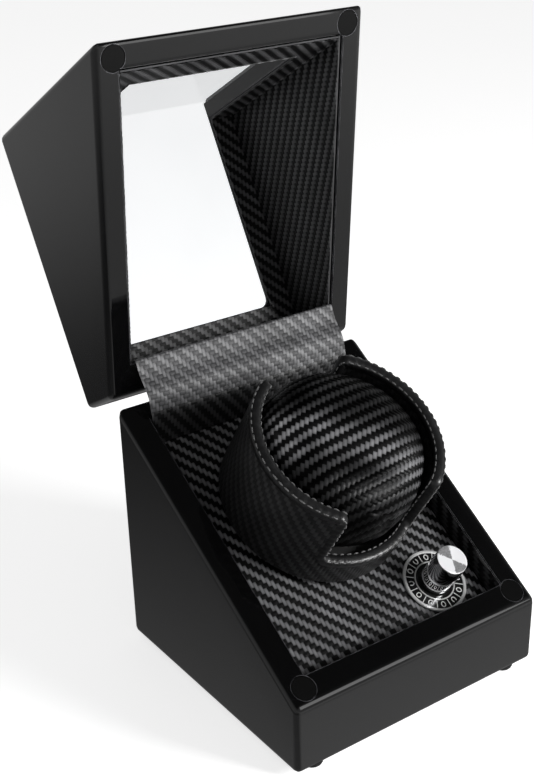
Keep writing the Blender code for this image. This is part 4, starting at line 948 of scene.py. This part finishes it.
def fill_cup(obj):
    """Fit the swollen skin back into its place in the cup, with a full shoulder under the rim."""
    target = node_points("pillow", in_slope) - np.array((0, ROTOR_V, 0))
    limit = np.hypot(target[:, 0], target[:, 1]).max()
    u, v, w = rotor_frame(obj).T
    radius = np.hypot(u, v)
    scale = limit * (radius / radius.max()) ** PILLOW_FULLNESS / np.maximum(radius, 1e-9)
    w = target[:, 2].min() + (w - w.min()) / (w.max() - w.min()) * np.ptp(target[:, 2])
    local = np.stack([u * scale, v * scale, w], axis=1)
    move_vertices(obj, np.array(slope_point(0, ROTOR_V, 0)) + local @ SLOPE_AXES)


def falloff(distance, width):
    return np.exp(-(distance / width) ** 2)


def side_of(distance, width):
    """1 well below zero, 0 well above it."""
    return 1 / (1 + np.exp(np.clip(distance / width, -40, 40)))


def shape_pillow(obj):
    """Move the fine skin along its normals for the weave, the seam, gathers and creases."""
    u, v, w = rotor_frame(obj).T
    drape = PILLOW_DRAPE * (w.max() - w) / np.maximum(np.hypot(u, v), 1e-6) ** 2
    wrapped_u, wrapped_v = u + drape * u * np.abs(u), v + drape * v * np.abs(v)
    p = wrapped_u * math.cos(RIB_TURN) + wrapped_v * math.sin(RIB_TURN)
    q = wrapped_v * math.cos(RIB_TURN) - wrapped_u * math.sin(RIB_TURN)
    s, t = ((q + turn * p) / (math.sqrt(2) * PILLOW_TOW) for turn in (-1, 1))
    past_seam = v - SEAM_V + SEAM_SLANT * u
    end_panel = side_of(past_seam, 0.3 * MM)
    gathered = falloff(u - GATHER_U, 5 * MM)
    gathers = np.sin(v / (1.35 * MM) + 2.5 * np.sin(u / (4 * MM))) * gathered
    creases = np.sin(v / (6.5 * MM) + u / (11 * MM) + 1.3 * np.sin(u / (9 * MM))) * falloff(v, 26 * MM)
    lift = (PILLOW_RELIEF * twill(s, t) * (1 - 0.75 * end_panel) * (1 - 0.6 * gathered)
            - SEAM_DEPTH * falloff(past_seam, 0.55 * MM) + SEAM_PUFF * falloff(past_seam, 2.6 * MM)
            + GATHER_DEPTH * gathers + CREASE_DEPTH * creases)
    move_vertices(obj, vertex_table(obj, "co") + vertex_table(obj, "normal") * lift[:, None])
    for layer in list(obj.data.uv_layers):
        obj.data.uv_layers.remove(layer)
    set_weave(obj, np.stack([s, t], axis=1))
    paint_shade_layer(obj, u, v, end_panel, gathered)


def paint_shade_layer(obj, u, v, end_panel, gathered):
    """Painted light and shade: a painted highlight along a slanting band and on the gathers, painted
    shade elsewhere, and darker still on the end panel past the seam.
    """
    # Painted highlight band and gather patches; the end panel is darkened.
    band = falloff(v + 6 * MM + 0.75 * u, 10 * MM)
    gather_highlight = gathered * side_of(-v, 2 * MM)
    shade = (0.12 + 0.95 * band + 1.5 * gather_highlight) * (1 - 0.85 * end_panel)
    layer = obj.data.attributes.new("shade", "FLOAT", "POINT")
    layer.data.foreach_set("value", shade.astype(np.float32))


def pillow():
    obj = pillow_skin()
    fill_cup(obj)
    shape_pillow(obj)
    obj.data.materials.clear()
    obj.data.materials.append(PILLOW_LEATHER)
    obj.data.polygons.foreach_set("use_smooth", [True] * len(obj.data.polygons))
    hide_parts("pillow")
    mount(obj, "pillow")


# ---- knob and dial
def polar_point(centre, radius, angle, height):
    return (centre + SLOPE_U * radius * math.cos(angle) + SLOPE_V * radius * math.sin(angle)
            + SLOPE_W * height)


def turned(name, profile, centre, segments, materials, pick=None):
    """Body turned about the slope's normal through centre, from a closed (radius, height) profile."""
    vertices, faces, slots, rings = [], [], [], []
    for radius, height in profile:
        count = segments if radius > 0 else 1
        rings.append([len(vertices) + k for k in range(count)])
        vertices += [polar_point(centre, radius, 2 * math.pi * k / segments, height) for k in range(count)]
    for index, ring in enumerate(rings):
        after = (index + 1) % len(rings)
        following = rings[after]
        if len(ring) == 1 and len(following) == 1:
            continue
        for k in range(segments):
            j = (k + 1) % segments
            corners = [ring[k % len(ring)], ring[j % len(ring)], following[j % len(following)],
                       following[k % len(following)]]
            faces.append(tuple(dict.fromkeys(corners)))
            slots.append(pick(profile[index], profile[after]) if pick else 0)
    body = new_object(name, vertices, faces, materials)
    body.data.polygons.foreach_set("material_index", slots)
    face_out(body)
    body.data.set_sharp_from_angle(angle=math.radians(30))
    return body


def node_extent(node, centre):
    """Lowest and highest level of a node, and its least and greatest radius about centre."""
    local = node_points(node, in_slope) - np.array(in_slope(centre))
    radii = np.hypot(local[:, 0], local[:, 1])
    return local[:, 2].min(), local[:, 2].max(), radii.min(), radii.max()


def knob():
    """Turned knob: bored from below, waisted above its foot, with a dished face of fine rings."""
    centre = Vector(JOINTS["knob_turn"]["pos_m"])
    low, top, _, radius = node_extent("knob", centre)
    bore, bore_top, recess, recess_top = 3.05 * MM, low + 5.2 * MM, 5.3 * MM, low + 3.2 * MM
    foot, waist = 0.35 * MM, 0.22 * MM
    chamfer, dish, ring_step, ring_depth = 0.55 * MM, 0.12 * MM, 0.28 * MM, 0.025 * MM
    ring_radii = np.arange(radius - chamfer - 0.25 * MM, 0.3 * MM, -ring_step)
    rings = [(r, top - dish * (1 - (r / radius) ** 2) - ring_depth * (k % 2))
             for k, r in enumerate(ring_radii)]
    profile = ([(bore, bore_top), (bore, recess_top), (recess, recess_top), (recess, low),
                (radius - foot, low), (radius, low + foot), (radius, low + 1.6 * MM),
                (radius - waist, low + 1.8 * MM), (radius - waist, low + 2.2 * MM),
                (radius, low + 2.4 * MM), (radius, top - chamfer),
                (radius - chamfer * 0.3, top - chamfer * 0.3), (radius - chamfer, top)]
               + rings + [(0, top - dish), (0, bore_top)])
    body = turned("knob_turned", profile, centre, 96, [spun_chrome("turned_chrome", centre)])
    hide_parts("knob")
    mount(body, "knob")


def dial():
    """Dial: metal ring outside, enamel band with generic marks, thin metal ring, enamel centre."""
    axis_point = Vector(JOINTS["knob_turn"]["pos_m"])
    low, top, hole, outer = node_extent("dial_plate", axis_point)
    centre = axis_point + SLOPE_W * low
    thick = top - low
    sunk = thick - 0.4 * MM
    ring_in, band_in, ledge = outer - 1.25 * MM, outer - 5.0 * MM, 0.25 * MM
    profile = [(hole, 0), (outer - 0.2 * MM, 0), (outer, ledge), (outer, thick - 0.3 * MM),
               (outer - ledge, thick), (ring_in + 0.2 * MM, thick), (ring_in, thick - 0.15 * MM),
               (ring_in - 0.05 * MM, sunk), (band_in, sunk), (band_in - 0.1 * MM, sunk + ledge),
               (band_in - 0.5 * MM, sunk + ledge), (band_in - 0.6 * MM, sunk), (hole, sunk - 0.1 * MM)]

    def pick(a, b):
        """Metal, material 0, on both rings, and enamel elsewhere."""
        radius = (a[0] + b[0]) / 2
        on_thin = band_in - 0.62 * MM < radius < band_in + 0.01 * MM
        return 0 if on_thin or radius > ring_in - 0.04 * MM else 1

    plate = turned("dial_face", profile, centre, 128, [DIAL_METAL, DIAL_BLACK], pick)
    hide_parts("dial_plate")
    mount(plate, "base")
    dial_marks(centre, sunk, ring_in, band_in)


def dial_marks(centre, level, outer, inner):
    """Radial bars between the cells, and a small ring in each cell, every second one open."""
    vertices, faces = [], []

    def raised(outline):
        """Small plate with a flat outline of (radius, angle) points."""
        first, count = len(vertices), len(outline)
        for height in (level - 0.05 * MM, level + 0.12 * MM):
            vertices.extend(polar_point(centre, r, a, height) for r, a in outline)
        faces.append(tuple(first + k for k in reversed(range(count))))
        faces.append(tuple(first + count + k for k in range(count)))
        faces.extend(grid_faces(2, count, closed=True, first=first))

    middle, half_bar = (outer + inner) / 2, 0.14 * MM
    bar_in, bar_out = inner + 0.2 * MM, outer - 0.1 * MM
    mark_high, mark_wide = 1.15 * MM, 0.95 * MM
    for cell in range(DIAL_MARKS):
        angle = 2 * math.pi * cell / DIAL_MARKS
        slim, wide = half_bar / inner, half_bar / outer
        raised([(bar_in, angle - slim), (bar_out, angle - wide),
                (bar_out, angle + wide), (bar_in, angle + slim)])
        around = angle + math.pi / DIAL_MARKS
        open_side = math.radians(40 if cell % 2 else 0)
        turns = np.linspace(open_side, 2 * math.pi - open_side, 15)
        for a, b in zip(turns[:-1], turns[1:]):
            corners = ((0.78, a), (1.12, a), (1.12, b), (0.78, b))
            raised([(middle + mark_high * size * math.cos(turn),
                     around + mark_wide * size * math.sin(turn) / middle) for size, turn in corners])
    marks = new_object("dial_marks", vertices, faces, [MARK_PAINT], smooth=False)
    face_out(marks)
    mount(marks, "base")


# ---- stage, light and camera
def camera():
    data = bpy.data.cameras.new("camera")
    data.lens, data.sensor_width = CAMERA_LENS, 36
    data.shift_y = CAMERA_SHIFT
    data.clip_start = 0.01
    level = math.cos(CAMERA_ELEVATION)
    back = Vector((math.sin(CAMERA_AZIMUTH) * level, -math.cos(CAMERA_AZIMUTH) * level,
                   math.sin(CAMERA_ELEVATION)))
    right = (-back).cross(Vector((0, 0, 1))).normalized()
    up = right.cross(-back)
    c, s = math.cos(CAMERA_ROLL), math.sin(CAMERA_ROLL)
    axes = (right * c + up * s, up * c - right * s, back)
    obj = link(bpy.data.objects.new("camera", data))
    obj.matrix_world = Matrix.Translation(CAMERA_PLACE) @ Matrix(axes).transposed().to_4x4()
    bpy.context.scene.camera = obj


def floor():
    """Pale floor that mirror-like surfaces don't see."""
    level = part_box("foot_1")[0].z
    corners = [(x * FLOOR_HALF, y * FLOOR_HALF, level) for x, y in ((-1, -1), (1, -1), (1, 1), (-1, 1))]
    g = Surface("pale_floor")
    pale = g.grey(g.span(g.noise(0.4), 0.86, 0.9))
    material = g.finish(Base_Color=pale, Roughness=0.9, Specular_IOR_Level=0.1,
                        Emission_Color=(1, 1, 1, 1), Emission_Strength=FLOOR_GLOW)
    plane = new_object("floor", corners, [(0, 1, 2, 3)], [material], smooth=False)
    plane.visible_glossy = False


def softbox(name, place, size, power, glossy=True):
    data = bpy.data.lights.new(name, "AREA")
    data.shape = "RECTANGLE"
    data.size, data.size_y = size
    data.energy = power
    obj = link(bpy.data.objects.new(name, data))
    obj.location = place
    obj.rotation_euler = (AIM - Vector(place)).to_track_quat("-Z", "Y").to_euler()
    obj.visible_glossy = glossy
    obj.visible_camera = False
    return obj


def leave_unlit(light, nodes):
    """Keep one light off the named nodes: its mirror image would be a white bar on their edges."""
    group = bpy.data.collections.new(f"{light.name}_skips")
    for node in nodes:
        group.objects.link(frame["nodes"][node])
    for entry in group.collection_objects:
        entry.light_linking.link_state = "EXCLUDE"
    light.light_linking.receiver_collection = group


def room():
    """Pale room.  Mirror-like surfaces see a dimmer one, lighter near the floor, at the horizon and
    towards the light, so that the lacquer stays deep black elsewhere."""
    world = bpy.data.worlds.new("studio")
    bpy.context.scene.world = world
    world.use_nodes = True
    g = Graph(world.node_tree)
    direction = g.node("ShaderNodeTexCoord").outputs["Generated"]
    height = g.node("ShaderNodeSeparateXYZ", Vector=direction).outputs[2]
    below = g.step(height, -0.35, -0.8, 0.03, 0.34)
    glow = g.step(g.dot(direction, ROOM_LIGHT_SIDE), 0.55, 1.0, 0.0, 0.4)
    glow = g.product(glow, g.step(height, 0.05, -0.15))
    around = g.product(g.step(height, -0.45, -0.2), g.step(height, 0.8, 0.3, 0.0, HORIZON_LEVEL))
    mirrored = g.grey(g.math("ADD", g.math("ADD", below, glow), around))
    path = g.node("ShaderNodeLightPath")
    lit, shown = (ROOM_LEVEL, ROOM_LEVEL, ROOM_LEVEL, 1), (0.95, 0.95, 0.96, 1)
    seen = g.mix(path.outputs["Is Camera Ray"], lit, shown)
    background = g.tree.nodes["Background"]
    g.feed(background.inputs["Color"], g.mix(path.outputs["Is Glossy Ray"], seen, mirrored))


def lights():
    """Soft key light from the front right, a weak fill, and a faint card for the edges' glint."""
    key_place = AIM + KEY_SIDE * KEY_DISTANCE
    key = softbox("key", key_place, KEY_SIZE, 10)
    leave_unlit(key, ("base_shell", "lid_shell", "lid_window"))
    softbox("edge_glint", key_place, KEY_SIZE, 0.7)
    softbox("fill", (-0.7, -0.5, 0.55), (0.6, 0.6), 0.7, glossy=False)


# ---- build
finish_cad_nodes()
panel_leather()
lid_leathers()
flap_leather()
cup_sheet("cup_wrap_leather", CUP_OUTER, CUP_LOW, 1, 0.8, "cup_wrap")
cup_sheet("cup_liner_leather", CUP_INNER, LINER_LOW, -1, 0.0, "cup_liner")
cup_binding()
cup_stitches()
pillow()
knob()
dial()
floor()
room()
lights()
camera()
bpy.context.scene.view_settings.view_transform = "Standard"
